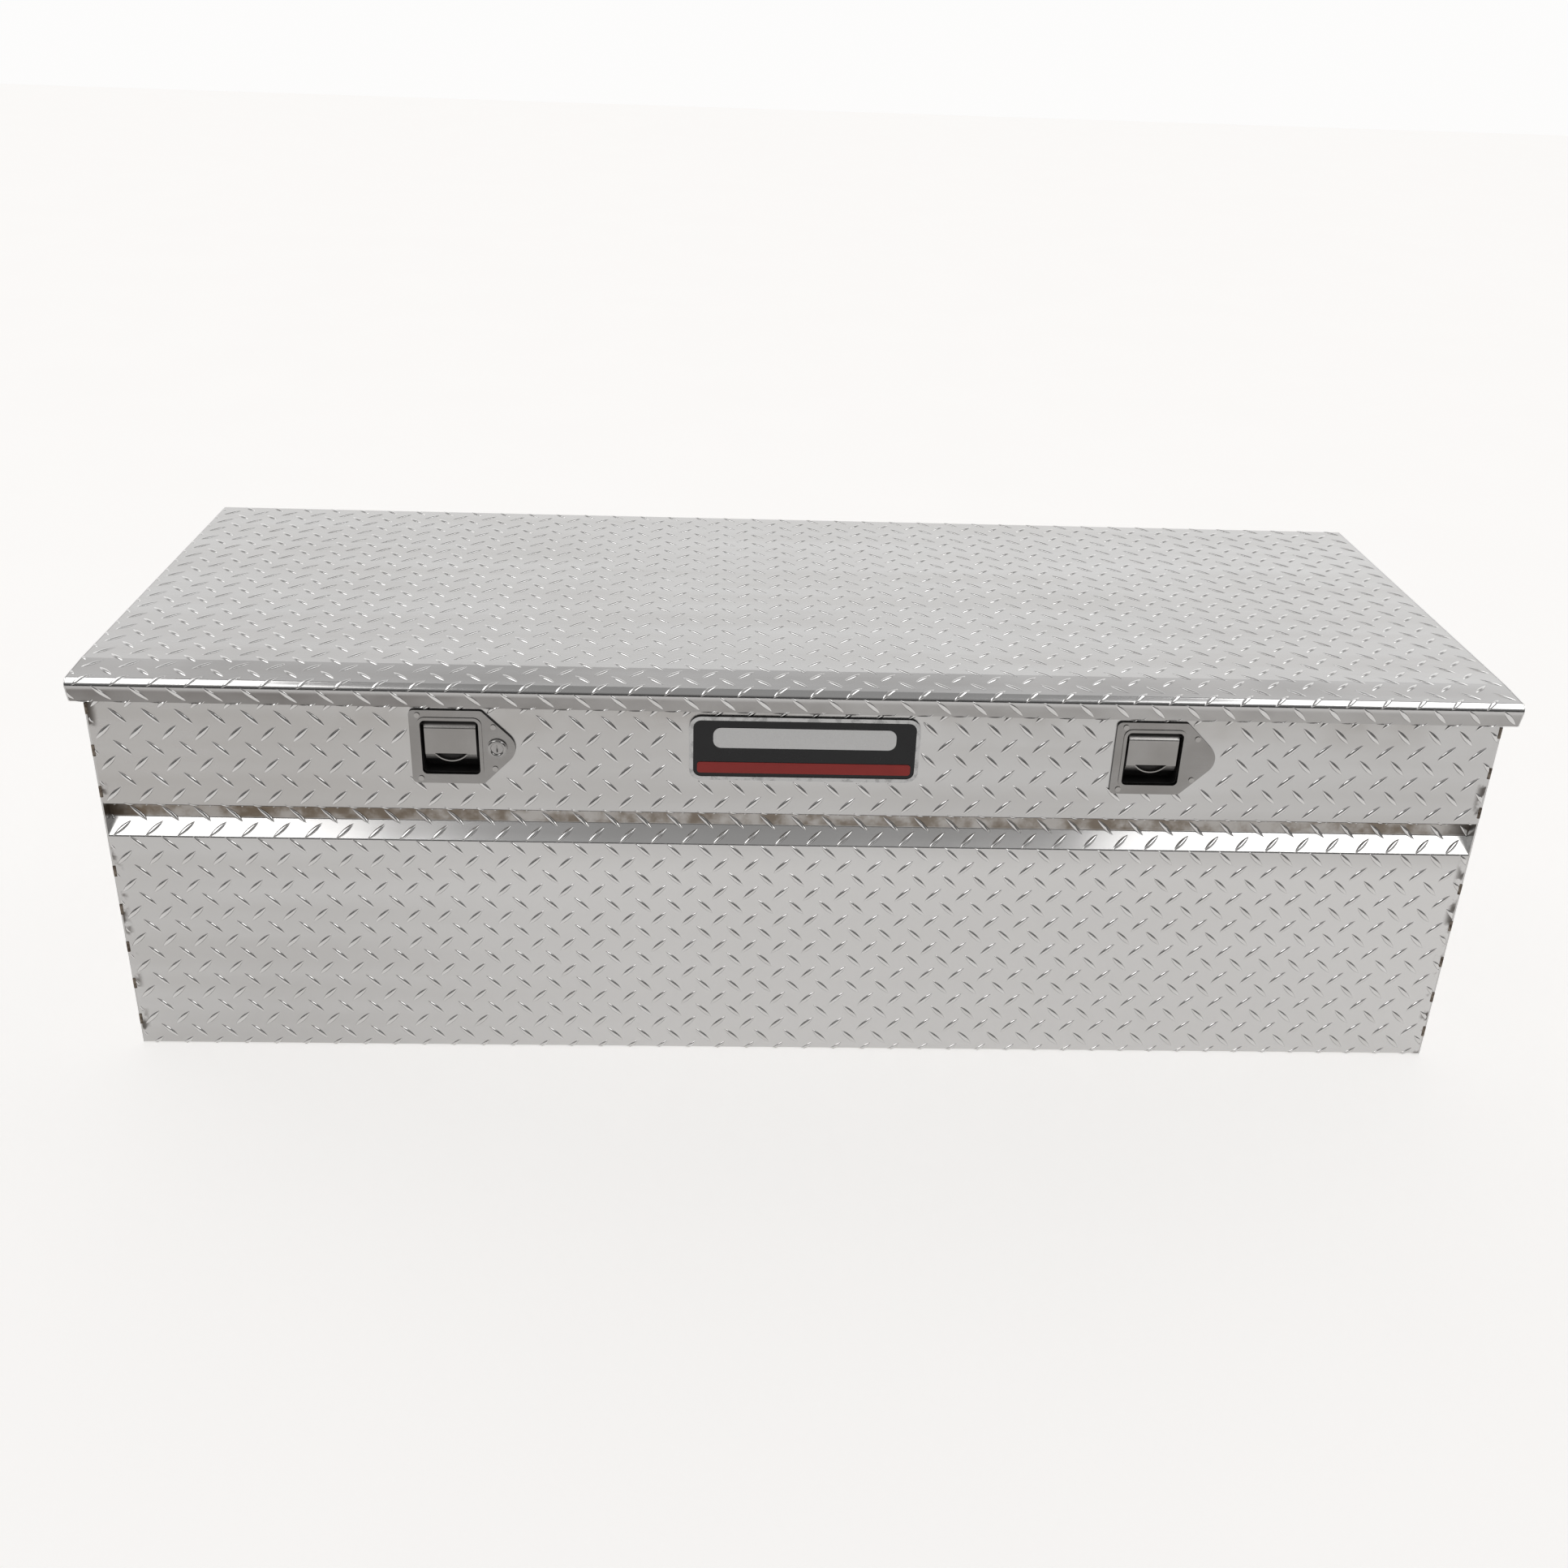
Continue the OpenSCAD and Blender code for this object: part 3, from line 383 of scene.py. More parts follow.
def grown(name, base, build, sizes):
    """Runs a Geometry Nodes tree on a base object, and gives the result as a plain mesh piece."""
    tree = bpy.data.node_groups.new(name, "GeometryNodeTree")
    result = build(group_inputs(tree, sizes))
    output = tree.nodes.new("NodeGroupOutput")
    tree.links.new(result.socket, output.inputs[0])
    modifier = base.modifiers.new(name, "NODES")
    modifier.node_group = tree
    for item in tree.interface.items_tree:
        if item.in_out == "INPUT" and item.name in sizes:
            modifier[item.identifier] = sizes[item.name]
    graph = bpy.context.evaluated_depsgraph_get()
    mesh = bpy.data.meshes.new_from_object(base.evaluated_get(graph), depsgraph=graph)
    base.modifiers.clear()
    bpy.data.objects.remove(base)
    piece = bpy.data.objects.new(name, mesh)
    bpy.context.scene.collection.objects.link(piece)
    return piece


def both(wire, *parts):
    """Joins several geometries into one."""
    made = wire.tree.nodes.new("GeometryNodeJoinGeometry")
    for part in parts:
        wire.tree.links.new(part.socket, made.inputs[0])
    return Wire(wire.tree, made.outputs[0])


def lug(given):
    """One closed lug round the origin: a crowned top on a lens outline, and a foot sunk in the sheet."""
    halves = []
    for crown, rows in ((1, 7), (0, 2)):
        grid = {"Size X": 2.0, "Size Y": 2.0, "Vertices X": 9, "Vertices Y": rows}
        flat = given["Lug length"].node("GeometryNodeMeshGrid", None, grid)
        place = flat.node("GeometryNodeInputPosition")
        s, t = [place.node("ShaderNodeSeparateXYZ", None, {0: place}, out=axis) for axis in (0, 1)]
        along = (s * (math.pi / 2)).maths("SINE", s * (math.pi / 2))
        taper = 1 - along * along
        hump = (taper ** 0.75) * ((1 - t * t) ** 0.8)
        x = along * given["Lug length"] / 2
        y = t * (taper ** 0.85) * given["Lug width"] / 2
        z = hump * crown * (given["Lug height"] + given["Sink"]) - given["Sink"]
        spot = x.node("ShaderNodeCombineXYZ", None, {0: x, 1: y, 2: z})
        rise = {"Geometry": flat, "Name": "rise", "Value": hump}
        on_points = {"data_type": "FLOAT", "domain": "POINT"}
        marked = flat.node("GeometryNodeStoreNamedAttribute", on_points, rise)
        half = marked.node("GeometryNodeSetPosition", None, {"Geometry": marked, "Position": spot})
        halves.append(half if crown else half.node("GeometryNodeFlipFaces", None, {"Mesh": half}))
    joined = both(halves[0], *halves)
    weld = 0.00002
    return joined.node("GeometryNodeMergeByDistance", None, {"Geometry": joined, "Distance": weld})


def tread(bare):
    """A tree that covers a sheet with lugs. Its base is the line that the sheet follows, and bare lists
    what stays free of lugs, as the low and high reach of each place across and along that line."""
    edge_fade = 0.004

    def build(given):
        line = given["Geometry"]
        length = line.node("GeometryNodeCurveLength", None, {0: line})
        half, across, along = given["Half run"], given["Pitch across"], given["Pitch along"]
        columns = (half / across).maths("FLOOR", half / across) + 2
        rows = (length / along).maths("FLOOR", length / along) + 3
        points = line.node("GeometryNodePoints", None, {"Count": columns * rows * 4})
        index = line.node("GeometryNodeInputIndex")
        family = index.maths("FLOORED_MODULO", index, 2)
        cell = index.maths("FLOOR", index / 2)
        column = cell.maths("FLOORED_MODULO", cell, columns * 2)
        row = cell.maths("FLOOR", cell / (columns * 2))
        u = (column - columns + family / 2 + given["Phase across"]) * across
        v = (row - 1 + family / 2 + given["Phase along"]) * along
        reach = given["Lug length"] * 0.36
        far = u.maths("GREATER_THAN", u.maths("ABSOLUTE", u), half + reach)
        far = far + v.maths("LESS_THAN", v, 0 - reach) + v.maths("GREATER_THAN", v, length + reach)
        for low_u, high_u, low_v, high_v in bare:
            within = u.maths("GREATER_THAN", u, low_u) * u.maths("LESS_THAN", u, high_u)
            far = far + within * v.maths("GREATER_THAN", v, low_v) * v.maths("LESS_THAN", v, high_v)
        spot = u.node("ShaderNodeCombineXYZ", None, {0: u, 1: v})
        lattice = points.node("GeometryNodeSetPosition", None, {"Geometry": points, "Position": spot})
        on_points = {"data_type": "FLOAT", "domain": "POINT"}
        stamped = {"Geometry": lattice, "Name": "family", "Value": family}
        marked = lattice.node("GeometryNodeStoreNamedAttribute", on_points, stamped)
        sifted = {"Geometry": marked, "Selection": far}
        kept = marked.node("GeometryNodeDeleteGeometry", {"domain": "POINT"}, sifted)
        kept_family = kept.node("GeometryNodeInputNamedAttribute", None, {"Name": "family"})
        turn = (0.5 - kept_family) * (math.pi / 2)
        angle = turn.node("ShaderNodeCombineXYZ", None, {2: turn})
        stood = {"Points": kept, "Instance": lug(given), "Rotation": angle}
        placed = kept.node("GeometryNodeInstanceOnPoints", None, stood)
        real = placed.node("GeometryNodeRealizeInstances", None, {"Geometry": placed})
        here = real.node("GeometryNodeInputPosition")
        a, b, c = [here.node("ShaderNodeSeparateXYZ", None, {0: here}, out=axis) for axis in range(3)]
        a = a.maths("MINIMUM", a.maths("MAXIMUM", a, 0 - half), half)
        edge = (half - a.maths("ABSOLUTE", a)).between(0.0, edge_fade)
        c = c * edge + (edge - 1) * given["Sink"]
        followed = {"Curves": line, "Length": b}
        foot, tangent = [line.node("GeometryNodeSampleCurve", {"mode": "LENGTH"}, followed, out=name)
                         for name in ("Position", "Tangent")]
        axis = given["Axis"]
        out = tangent.vector("CROSS_PRODUCT", tangent, axis)
        sideways = axis.node("ShaderNodeVectorMath", {"operation": "SCALE"}, {0: axis, 3: a})
        outward = out.node("ShaderNodeVectorMath", {"operation": "SCALE"}, {0: out, 3: c})
        wrapped = foot.vector("ADD", foot.vector("ADD", foot, sideways), outward)
        # Nothing reaches under the floor. The wrap mirrors the lugs, so their faces are turned out again.
        stands = wrapped.vector("MAXIMUM", wrapped, (-10.0, -10.0, 0.0))
        laid = real.node("GeometryNodeSetPosition", None, {"Geometry": real, "Position": stands})
        turned = laid.node("GeometryNodeFlipFaces", None, {"Mesh": laid})
        soft = turned.node("GeometryNodeSetShadeSmooth", None, {"Geometry": turned})
        return soft.node("GeometryNodeSetMaterial", None, {"Geometry": soft, "Material": given["Material"]})
    return build


def line_object(points):
    """A curve through points in 3-D, for a tree to follow."""
    curve = bpy.data.curves.new("line", "CURVE")
    curve.dimensions = "3D"
    spline = curve.splines.new("POLY")
    spline.points.add(len(points) - 1)
    for place, point in zip(spline.points, points):
        place.co = (*point, 1.0)
    made = bpy.data.objects.new("line", curve)
    bpy.context.scene.collection.objects.link(made)
    return made


lug_metal = finish("tread_lug", lug_look)
lug_length = 0.0245
lug_width = 0.0056
lug_sink = 0.0002
body_lug_height = 0.0014
fine_steps = 24


def run_length(points, stop):
    """How far along a line its nearest point to stop lies."""
    travelled = 0.0
    found = []
    for before, after in zip(points, points[1:]):
        step = after - before
        share = (stop - before).dot(step) / max(step.length_squared, 1e-12)
        share = max(0.0, min(1.0, share))
        found.append(((before + step * share - stop).length, travelled + share * step.length))
        travelled += step.length
    return min(found)[1]


def lugs(name, points, half, axis, pitches, phases, body, bare=(), height=body_lug_height):
    """Lugs over one sheet, riding on its body."""
    sizes = {
        "Half run": half, "Pitch across": pitches[0], "Pitch along": pitches[1],
        "Phase across": phases[0], "Phase along": phases[1], "Axis": axis,
        "Lug length": lug_length, "Lug width": lug_width, "Lug height": height, "Sink": lug_sink,
        "Material": lug_metal,
    }
    piece = grown(name, line_object(points), tread(bare), sizes)
    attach(piece, body)
    return piece


def on_sheet(points, low_x, high_x, low_z, high_z, y):
    """A place on an upright sheet that stays bare, in the tree's own reach across and along."""
    ends = sorted(run_length(points, Vector((y, z))) for z in (low_z, high_z))
    return (low_x, high_x, *ends)


upper_points = bent(front_line[:4], front_bends[:2], fine_steps)
lower_points = bent(front_line[3:], front_bends[3:], fine_steps)
bare_front = []
for node in ("badge_plate", "latch_bezel_left", "latch_bezel_right"):
    low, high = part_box(node)
    bare_front.append(on_sheet(upper_points, low.x, high.x, low.z, high.z, front_y))

across_x = (1.0, 0.0, 0.0)
across_y = (0.0, 1.0, 0.0)
pitch = 0.0322
plain_run = (pitch, 0.0333)
upper_run, upper_phase = (pitch, 0.0348), (0.93, 0.655)
lower_run, lower_phase = (pitch, 0.0331), (0.93, 0.46)
lugs("front_lugs_upper", [(0, p.x, p.y) for p in upper_points], wall_half, across_x,
     upper_run, upper_phase, "chest", bare_front)
lugs("front_lugs_lower", [(0, p.x, p.y) for p in lower_points], wall_half, across_x,
     lower_run, lower_phase, "chest")

bare_margin = 0.006
leaf_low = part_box("hinge_leaf_body")[0].z
rear_points = bent(rear_line, rear_bends, fine_steps)
under_hinge = on_sheet(rear_points, -0.8, 0.8, leaf_low - bare_margin, rim_z, rear_y)
lugs("rear_lugs", [(0, p.x, p.y) for p in rear_points], wall_half, across_x,
     plain_run, (0.2, 0.4), "chest", [under_hinge])

end_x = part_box("side_panel_right")[1].x
end_middle = (front_y + rear_y) / 2
end_half = (rear_y - front_y) / 2
for side, name, heights in ((1, "right", (rim_z, 0.0)), (-1, "left", (0.0, rim_z))):
    lugs("end_lugs_" + name, [(side * end_x, end_middle, z) for z in heights], end_half, across_y,
         plain_run, (0.3, 0.6), "chest")


# --- Lid -----------------------------------------------------------------------
# The lid is one more sheet of the same plate, with a rolled nose along the front and a skirt front and
# rear. Its two ends are flat strips welded in, with their edges rounded off.

lid_low, lid_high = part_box("lid_skin")
lid_top = lid_high.z
lid_rear = lid_high.y
lid_half = lid_high.x
nose_r = 0.0075
crease_back = 0.051
crease_y = lid_low.y + crease_back
crease_slope = math.radians(2.5)
skirt_lean = math.radians(14.6)
nose_y = lid_low.y + nose_r
nose_run = (crease_y + nose_r * math.sin(crease_slope) - nose_y) / math.cos(crease_slope)
nose_z = lid_top - nose_run * math.sin(crease_slope) - nose_r * math.cos(crease_slope)
tip_reach = nose_r / math.cos((math.pi / 2 + skirt_lean - crease_slope) / 2)
tip_angle = (math.radians(270) + skirt_lean + crease_slope) / 2
nose_tip = (nose_y + tip_reach * math.cos(tip_angle), nose_z + tip_reach * math.sin(tip_angle))
skirt_foot = (nose_tip[0] + (nose_tip[1] - lid_low.z) * math.tan(skirt_lean), lid_low.z)
rear_skirt = 0.023
lid_line = [
    (lid_rear, lid_top - rear_skirt), (lid_rear, lid_top), (crease_y, lid_top), nose_tip, skirt_foot,
]
lid_bends = [bend_r, bend_r, nose_r]


def lid_look(wire):
    """Bright sheet, with painted shade on the front skirt that gets darker to the left, and a little on the
    top to the left.
    """
    x, y, z = wire.position()
    low_down = 1 - z.between(lid_top - 0.0140, lid_top - 0.0095)
    skirt = low_down * (1 - y.between(crease_y - 0.03, crease_y))
    left = 1 - x.between(-0.62, 0.10)
    patches = wire.noise(14, (0.6, 1, 1), 4).between(0.35, 0.65)
    look = rolled_sheet(wire, along_x, 0.49, 0.16)
    # Painted shade: the front skirt darker, most to the left, and the top slightly darker to the left.
    tone_mask = skirt * (0.20 + left * 0.38 + patches * 0.20) + (1 - skirt) * left * 0.06
    return lay_dirt_and_shade(wire, look, tone_mask, (0.10, 0.085, 0.075, 1), 0.2)


lid_points = bent(lid_line, lid_bends, fine_steps)
bright_lid = finish("tread_lid", lid_look)
lid_shell = folded("lid_shell", lid_points, sheet - lid_half, lid_half - sheet, bright_lid)
smooth(lid_shell)
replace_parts(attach(lid_shell, "lid"), "lid_skin")

outline = bent(lid_line, lid_bends, bend_steps)
count = len(outline)
for side, name in ((-1, "left"), (1, "right")):
    faces_x = (side * (lid_half - sheet), side * lid_half)
    vertices = [(x, p.x, p.y) for x in faces_x for p in outline]
    ring = list(range(count))
    faces = [tuple(ring), tuple(i + count for i in reversed(ring))]
    faces += [(i, i + count, (i + 1) % count + count, (i + 1) % count) for i in range(count)]
    if side > 0:
        faces = [tuple(reversed(face)) for face in faces]
    end = new_piece("lid_end_" + name, vertices, faces, bright_end)
    rounding = end.modifiers.new("Rounding", "BEVEL")
    rounding.width, rounding.segments, rounding.limit_method = 0.0006, 3, "ANGLE"
    rounding.angle_limit = math.radians(50)
    smooth(settle(end), math.radians(40))
    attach(end, "lid")

lid_run, lid_phase = (0.0356, 0.0329), (0.79, 0.92)
lugs("lid_lugs", [(0, p.x, p.y) for p in lid_points], lid_half, across_x,
     lid_run, lid_phase, "lid", height=0.0010)

give(finish("mill_channel", lambda wire: rolled_sheet(wire, along_x, 0.62, 0.34)),
     "lid_stiffener_front", "lid_stiffener_rear")


# --- Corner welds ----------------------------------------------------------------
# Short beads run by hand up the four corners. They're left as they come, dark and sooty on the crown with
# a brown scorch, and the metal next to them is stained.

def weld_look(wire):
    ripple = wire.noise(900, (0.2, 0.2, 1.0), 2)
    soot = wire.noise(160, detail=4).between(0.35, 0.65)
    return {
        "Base Color": soot.blend((0.055, 0.035, 0.022, 1), (0.26, 0.22, 0.18, 1)),
        "Roughness": 0.55 + soot * 0.2,
        "Metallic": 0.45,
        "Height": ripple + soot * 0.6,
        "Relief": 0.0004,
    }


give(finish("weld_bead", weld_look), "corner_welds")


# --- Rim seal ---------------------------------------------------------------------
# A moulded rubber bulb on a flat foot, stuck to the rim in four lengths. The latch plates stand on gaskets
# of the same black rubber.

def rubber_look(wire):
    bloom = wire.noise(60, detail=5).between(0.4, 0.75)
    return {
        "Base Color": bloom.blend((0.014, 0.014, 0.015, 1), (0.040, 0.040, 0.042, 1)),
        "Roughness": 0.62 + bloom * 0.2,
        "Height": wire.noise(2500, detail=2),
        "Relief": 0.00004,
    }


give(finish("seal_rubber", rubber_look), "rim_seal", "latch_gasket_left", "latch_gasket_right")


# --- Piano hinge and its rivets ----------------------------------------------------
# Two stainless leaves with rolled knuckles on one long pin. Domed aluminium rivets hold the lower leaf to
# the back of the chest and the upper one inside the lid's rear skirt.

def satin_steel(wire, stretch=(0.05, 1.0, 1.0), bright=0.46, smooth=0.30):
    """Stainless with a fine brushed grain and faint smears."""
    grain = wire.noise(900, stretch, 2)
    smears = wire.noise(24, detail=4)
    dark, light = grey(bright * 0.90, 0.035), grey(bright * 1.06, 0.025)
    return {
        "Base Color": smears.between(0.3, 0.7).blend(dark, light),
        "Roughness": smooth - 0.04 + grain * 0.06 + smears * 0.06,
        "Metallic": 1.0,
        "Height": grain,
        "Relief": 0.000012,
    }


hinge_steel = finish("hinge_steel", lambda wire: satin_steel(wire, bright=0.52))
give(hinge_steel, "hinge_leaf_body", "hinge_leaf_lid", "hinge_pin")


def rivet_look(wire):
    turned = wire.noise(220, detail=3)
    return {
        "Base Color": turned.blend(grey(0.50, 0.01), grey(0.66, 0.01)),
        "Roughness": 0.24 + turned * 0.14,
        "Metallic": 1.0,
        "Height": turned,
        "Relief": 0.00006,
    }


rivet_metal = finish("rivet_aluminium", rivet_look)


def domes(given):
    """A flattened ball on each point of the base, which shows as a dome where it leaves the sheet."""
    round_shape = {"Segments": 20, "Rings": 12, "Radius": 1.0}
    across, rise = given["Across"], given["Rise"]
    ball = across.node("GeometryNodeMeshUVSphere", None, round_shape)
    size = ball.node("ShaderNodeCombineXYZ", None, {0: across, 1: rise, 2: across})
    stood = {"Points": given["Geometry"], "Instance": ball, "Scale": size}
    placed = ball.node("GeometryNodeInstanceOnPoints", None, stood)
    real = placed.node("GeometryNodeRealizeInstances", None, {"Geometry": placed})
    soft = real.node("GeometryNodeSetShadeSmooth", None, {"Geometry": real})
    return soft.node("GeometryNodeSetMaterial", None, {"Geometry": soft, "Material": given["Material"]})


def rivets(name, body, heads, tails, sizes, material):
    """Domed heads and tails of a group of rivets along Y, as one piece that rides on a body."""
    made = []
    for spots, (across, rise) in zip((heads, tails), sizes):
        base = new_piece("spots", spots, [], material)
        made.append(grown(name, base, domes, {"Across": across, "Rise": rise, "Material": material}))
    with bpy.context.temp_override(active_object=made[0], selected_editable_objects=made):
        bpy.ops.object.join()
    made[0].name = name
    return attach(made[0], body)


rivet_pitch = 0.100
head_r, head_rise = 0.004, 0.0008
tail_r, tail_rise = 0.0032, 0.0015
for node, body in (("hinge_rivets_body", "chest"), ("hinge_rivets_lid", "lid")):
    low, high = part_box(node)
    count = round((high.x - low.x - 2 * head_r) / rivet_pitch) + 1
    level = (low.z + high.z) / 2
    across = [(k - (count - 1) / 2) * rivet_pitch for k in range(count)]
    heads = [(x, high.y - head_rise, level) for x in across]
    tails = [(x, low.y + tail_rise, level) for x in across]
    sizes = ((head_r, head_rise), (tail_r, tail_rise))
    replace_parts(rivets(node + "_domed", body, heads, tails, sizes, rivet_metal), node)


# --- Gas struts ---------------------------------------------------------------------
# Two sealed gas springs: a black painted tube, a hard-chromed rod and steel end eyes. Zinc-plated brackets
# and shouldered studs hold them inside the chest's ends and under the lid.

def paint_look(wire):
    peel = wire.noise(420, detail=2)
    scuffs = wire.noise(45, (1, 1, 0.3), 5).between(0.60, 0.78)
    return {
        "Base Color": scuffs.blend((0.012, 0.012, 0.014, 1), (0.060, 0.060, 0.062, 1)),
        "Roughness": 0.28 + scuffs * 0.25,
        "Coat Weight": 0.3,
        "Height": peel,
        "Relief": 0.00003,
    }


def chrome_look(wire):
    tone_mask = wire.noise(35, detail=3)
    return {
        "Base Color": tone_mask.blend(grey(0.62), grey(0.72)),
        "Roughness": 0.07 + tone_mask * 0.06,
        "Metallic": 1.0,
    }


def zinc_look(wire):
    cells = wire.noise(130, detail=4).between(0.35, 0.65)
    return {
        "Base Color": cells.blend((0.42, 0.43, 0.45, 1), (0.56, 0.57, 0.58, 1)),
        "Roughness": 0.34 + cells * 0.14,
        "Metallic": 1.0,
        "Height": cells,
        "Relief": 0.00003,
    }


zinc = finish("zinc_steel", zinc_look)
give(finish("strut_paint", paint_look), "strut_cylinder_left", "strut_cylinder_right")
give(finish("rod_chrome", chrome_look), "strut_rod_left", "strut_rod_right")
give(zinc, "strut_bracket_body_left", "strut_bracket_body_right", "strut_bracket_lid_left",
     "strut_bracket_lid_right", "strut_stud_body_left", "strut_stud_body_right", "strut_stud_lid_left",
     "strut_stud_lid_right")


# --- Paddle latches ------------------------------------------------------------------
# Each latch is a stainless plate with a pressed dish, riveted to the front over a gasket. The paddle turns
# on a cross pin in the dish, and its tongue lifts the pawl in the case behind.

paddle_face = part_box("paddle_right")[0].y


def plate_look(wire):
    """Brushed plate, with painted shade that blackens the dish behind it."""
    depth = wire.position()[1]
    dish = depth.between(front_y + 0.0002, front_y + 0.0035)
    look = satin_steel(wire, bright=0.27, smooth=0.24)
    # Painted shade: the inside of the dish goes nearly black.
    dish_shade = dish * (0.86 + wire.noise(90, detail=4) * 0.14)
    return lay_dirt_and_shade(wire, look, dish_shade, (0.010, 0.009, 0.009, 1))


def paddle_look(wire):
    """Brushed face, with painted shade in the finger scoop and along the folded band."""
    depth = wire.position()[1]
    deep = depth.between(paddle_face + 0.0009, paddle_face + 0.0030)
    look = satin_steel(wire, (1.0, 1.0, 0.05), 0.29, 0.22)
    # Painted shade: the parts set back from the face, the scoop and the band, go dark.
    return lay_dirt_and_shade(wire, look, deep * 0.92, (0.014, 0.012, 0.012, 1))


plate_steel = finish("plate_steel", plate_look)
paddle_steel = finish("paddle_steel", paddle_look)
give(plate_steel, "latch_bezel_left", "latch_bezel_right")
give(paddle_steel, "paddle_left", "paddle_right", "paddle_pin_left", "paddle_pin_right")
give(zinc, "latch_case_left", "latch_case_right", "pawl_left", "pawl_right", "pawl_pin_left",
     "pawl_pin_right", "striker_left", "striker_right")
give(finish("latch_rivets", lambda wire: satin_steel(wire, (1, 1, 1), 0.34, 0.20)),
     "latch_rivets_left", "latch_rivets_right")


def spring_look(wire):
    oil = wire.noise(300, detail=3)
    return {
        "Base Color": oil.blend(grey(0.16, -0.02), grey(0.26, 0.01)),
        "Roughness": 0.26 + oil * 0.12,
        "Metallic": 1.0,
    }


def coil(given):
    """A close-wound coil along X round the base's one point, with caps on the wire's ends."""
    spiral = {
        "Resolution": 24, "Rotations": given["Turns"], "Start Radius": given["Radius"],
        "End Radius": given["Radius"], "Height": given["Length"],
    }
    path = given["Radius"].node("GeometryNodeCurveSpiral", None, spiral)
    ring = path.node("GeometryNodeCurvePrimitiveCircle", None, {"Resolution": 8, "Radius": given["Wire"]})
    swept = {"Curve": path, "Profile Curve": ring, "Fill Caps": True}
    tube = path.node("GeometryNodeCurveToMesh", None, swept)
    stood = {"Points": given["Geometry"], "Instance": tube, "Rotation": given["Turned"]}
    placed = tube.node("GeometryNodeInstanceOnPoints", None, stood)
    real = placed.node("GeometryNodeRealizeInstances", None, {"Geometry": placed})
    soft = real.node("GeometryNodeSetShadeSmooth", None, {"Geometry": real})
    return soft.node("GeometryNodeSetMaterial", None, {"Geometry": soft, "Material": given["Material"]})


spring_steel = finish("spring_steel", spring_look)
wire_r = 0.0005
for name in ("left", "right"):
    low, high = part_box("paddle_spring_" + name)
    middle = (low + high) / 2
    base = new_piece("spot", [(low.x + wire_r, middle.y, middle.z)], [], spring_steel)
    sizes = {
        "Turns": 11.0, "Radius": (high.z - low.z) / 2 - wire_r, "Wire": wire_r,
        "Length": high.x - low.x - 2 * wire_r, "Turned": (0.0, math.pi / 2, 0.0), "Material": spring_steel,
    }
    spring = grown("paddle_coil_" + name, base, coil, sizes)
    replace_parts(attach(spring, "chest"), "paddle_spring_" + name)


# --- Lock ------------------------------------------------------------------------------
# A plated cam lock beside the left paddle: a flanged barrel with a hexagon nut inside the panel, a plug
# with a narrow keyway, and a flat cam of yellow plated steel.

def lock_look(wire):
    polish = wire.noise(90, detail=3)
    return {
        "Base Color": polish.blend(grey(0.27, 0.02), grey(0.38, 0.02)),
        "Roughness": 0.12 + polish * 0.10,
        "Metallic": 1.0,
        "Height": polish,
        "Relief": 0.00005,
    }


def passivate_look(wire):
    sheen = wire.noise(110, detail=4)
    return {
        "Base Color": sheen.blend((0.50, 0.36, 0.13, 1), (0.62, 0.50, 0.24, 1)),
        "Roughness": 0.30 + sheen * 0.14,
        "Metallic": 1.0,
        "Height": sheen,
        "Relief": 0.00003,
    }


lock_chrome = finish("lock_chrome", lock_look)
give(lock_chrome, "lock_housing", "lock_plug")


def lathed(name, profile, centre, material):
    """A ring turned about Y: its closed profile is radius and depth behind the centre."""
    steps = 48
    vertices = []
    for step in range(steps):
        angle = 2 * math.pi * step / steps
        for radius, depth in profile:
            spoke = Vector((radius * math.cos(angle), depth, radius * math.sin(angle)))
            vertices.append(centre + spoke)
    count = len(profile)
    faces = []
    for step in range(steps):
        after = (step + 1) % steps
        for i in range(count):
            j = (i + 1) % count
            faces.append((step * count + i, after * count + i, after * count + j, step * count + j))
    return new_piece(name, vertices, faces, material)


lock_low, lock_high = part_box("lock_plug")
lock_centre = (lock_low + lock_high) / 2
lock_centre.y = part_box("lock_housing")[0].y
ring_r, ring_half, ring_rise, ring_sink = 0.0078, 0.0017, 0.0011, 0.0004
crown = []
for degrees in range(0, 181, 15):
    angle = math.radians(degrees)
    crown.append((ring_r + ring_half * math.cos(angle), -ring_rise * math.sin(angle)))
foot = [(ring_r - ring_half, ring_sink), (ring_r + ring_half, ring_sink)]
ring = lathed("lock_ring", crown + foot, lock_centre, lock_chrome)
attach(smooth(ring, math.radians(60)), "chest")
give(finish("lock_yellow", passivate_look), "lock_nut", "lock_cam")


# --- Badge -------------------------------------------------------------------------------
# A plain moulded badge between the latches: gloss black with a raised rim, a satin silver bar and a red
# strip, stuck to the front.

def moulded(wire, colour, brighter, rough):
    flow = wire.noise(70, detail=3)
    return {
        "Base Color": flow.blend(colour, brighter),
        "Roughness": rough + flow * 0.08,
        "Specular IOR Level": 0.3,
        "Height": wire.noise(700, detail=2),
        "Relief": 0.00002,
    }


def silver_look(wire):
    flake = wire.noise(1400, detail=2)
    return {
        "Base Color": flake.blend(grey(0.42), grey(0.56)),
        "Roughness": 0.30 + flake * 0.10,
        "Metallic": 0.85,
    }


badge_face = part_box("badge_plate")[0].y


def badge_look(wire):
    """Black moulding whose raised rim is hot-stamped with silver foil, a little worn in patches."""
    look = moulded(wire, (0.006, 0.006, 0.007, 1), (0.012, 0.012, 0.013, 1), 0.22)
    rim = 1 - wire.position()[1].between(badge_face + 0.0002, badge_face + 0.0006)
    foil = rim * (0.75 + wire.noise(120, detail=4).between(0.35, 0.55) * 0.25)
    look["Base Color"] = foil.blend(look["Base Color"], grey(0.48))
    look["Metallic"] = foil * 0.9
    return look


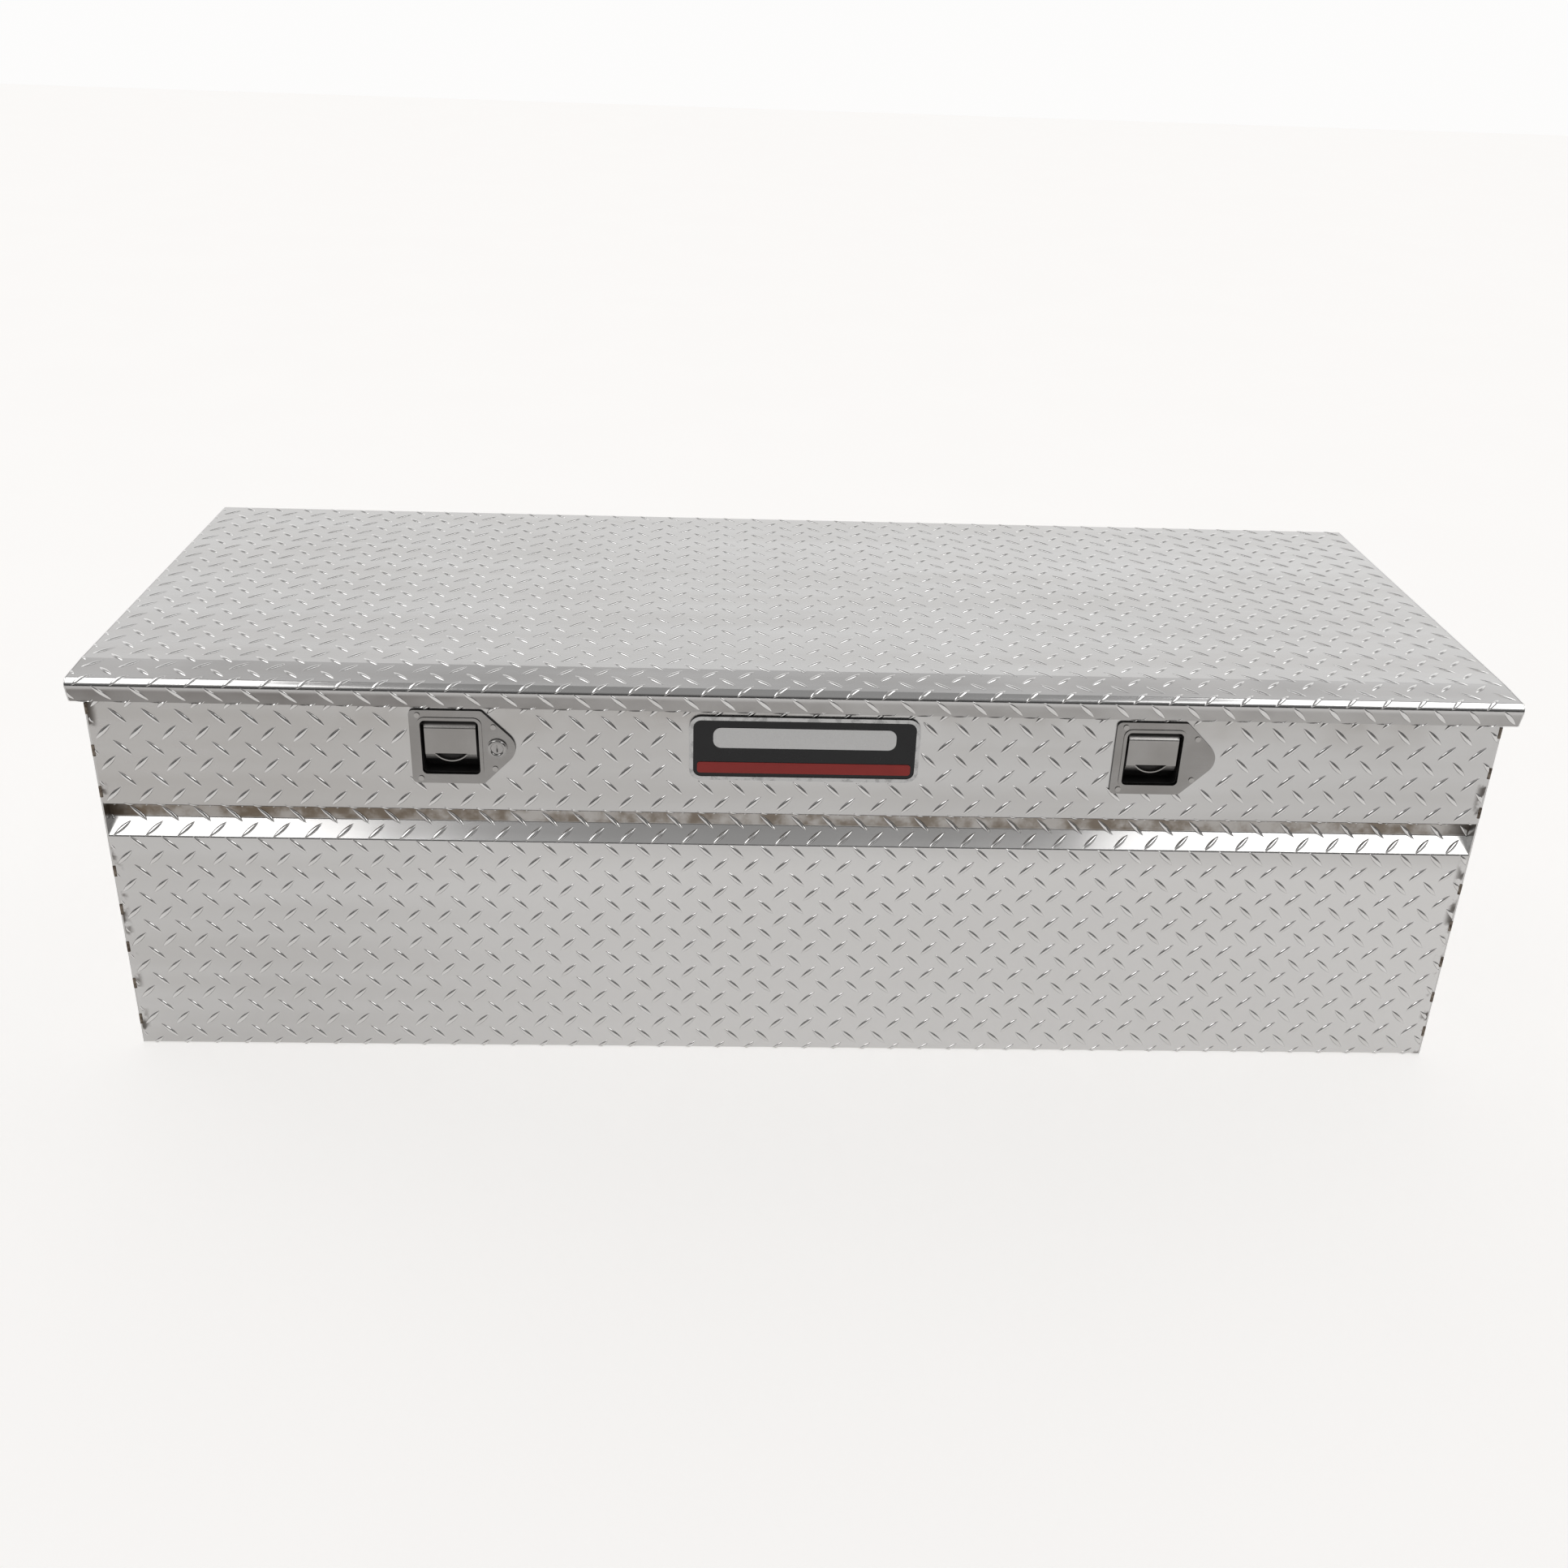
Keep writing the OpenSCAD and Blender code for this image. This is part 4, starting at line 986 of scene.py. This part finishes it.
def strip_look(wire):
    return moulded(wire, (0.24, 0.014, 0.011, 1), (0.30, 0.020, 0.016, 1), 0.26)


give(finish("badge_black", badge_look), "badge_plate")
give(finish("badge_red", strip_look), "badge_strip")
give(finish("badge_silver", silver_look), "badge_bar")


# --- Studio ------------------------------------------------------------------------------
# A pale floor, a bright wall behind the chest, and two long softboxes overhead to the left and right, with
# a darker gap between them. A black card in front is seen only in the metal, where it edges the lugs.

def floor_look(wire):
    return {
        "Base Color": wire.noise(3, detail=2).blend((0.80, 0.79, 0.78, 1), (0.83, 0.82, 0.81, 1)),
        "Roughness": 0.85,
        "Emission Color": (1.0, 0.985, 0.97, 1),
        "Emission Strength": 0.56,
        "Specular IOR Level": 0.0,
    }


floor_reach = 14.0
floor_corners = [
    (-floor_reach, -floor_reach, 0), (floor_reach, -floor_reach, 0),
    (floor_reach, floor_reach, 0), (-floor_reach, floor_reach, 0),
]
floor = new_piece("floor", floor_corners, [(0, 1, 2, 3)], finish("floor", floor_look))

world = bpy.data.worlds.new("studio")
bpy.context.scene.world = world
world.use_nodes = True
sky = world.node_tree
sky.nodes.clear()
wire = Wire(sky)
direction = wire.node("ShaderNodeTexCoord", out="Generated")
depth = wire.node("ShaderNodeSeparateXYZ", None, {0: direction}, out=1)
height = wire.node("ShaderNodeSeparateXYZ", None, {0: direction}, out=2)
wall = depth.between(0.15, 0.60) * (1 - height.between(0.42, 0.50))
room = (1 - depth.between(-0.5, -0.1)) * (1 - height.between(0.22, 0.55))
seen = wire.node("ShaderNodeLightPath", out="Is Camera Ray")
backdrop = 0.98
level = (0.46 + wall * 0.70 - room * 0.28) * (1 - seen) + seen * backdrop
background = wire.node("ShaderNodeBackground", None, {"Color": (1.0, 0.995, 0.99, 1), "Strength": level})
sky.links.new(background.socket, sky.nodes.new("ShaderNodeOutputWorld").inputs[0])

def card_look(wire):
    return {"Base Color": wire.noise(4).blend(grey(0.02), grey(0.04)), "Roughness": 0.9}


card_reach, card_y, card_foot, card_head = 3.2, -2.35, 0.02, 0.80
card_corners = [
    (-card_reach, card_y, card_foot), (card_reach, card_y, card_foot),
    (card_reach, card_y, card_head), (-card_reach, card_y, card_head),
]
card = new_piece("card", card_corners, [(0, 1, 2, 3)], finish("card", card_look))
card.visible_camera = card.visible_diffuse = card.visible_shadow = card.visible_transmission = False

softbox_width, softbox_length, softbox_watts = 1.4, 4.0, 58
softbox_apart, softbox_y, softbox_z = 1.8, -0.8, 2.4
for side in (-1, 1):
    panel = bpy.data.lights.new("softbox", "AREA")
    panel.shape, panel.size, panel.size_y = "RECTANGLE", softbox_width, softbox_length
    panel.energy = softbox_watts
    softbox = bpy.data.objects.new("softbox", panel)
    softbox.location = (side * softbox_apart, softbox_y, softbox_z)
    softbox.visible_diffuse = False
    bpy.context.scene.collection.objects.link(softbox)

camera = bpy.data.objects.new("camera", bpy.data.cameras.new("camera"))
camera.data.sensor_width = 36.0
camera.data.lens = 36.82
camera.data.clip_start, camera.data.clip_end = 0.05, 60.0
camera.location = (-0.0857, -1.7195, 1.0620)
camera.rotation_euler = [math.radians(a) for a in (63.3255, -1.8648, -1.6676)]
bpy.context.scene.collection.objects.link(camera)
bpy.context.scene.camera = camera
bpy.context.scene.view_settings.view_transform = "Standard"
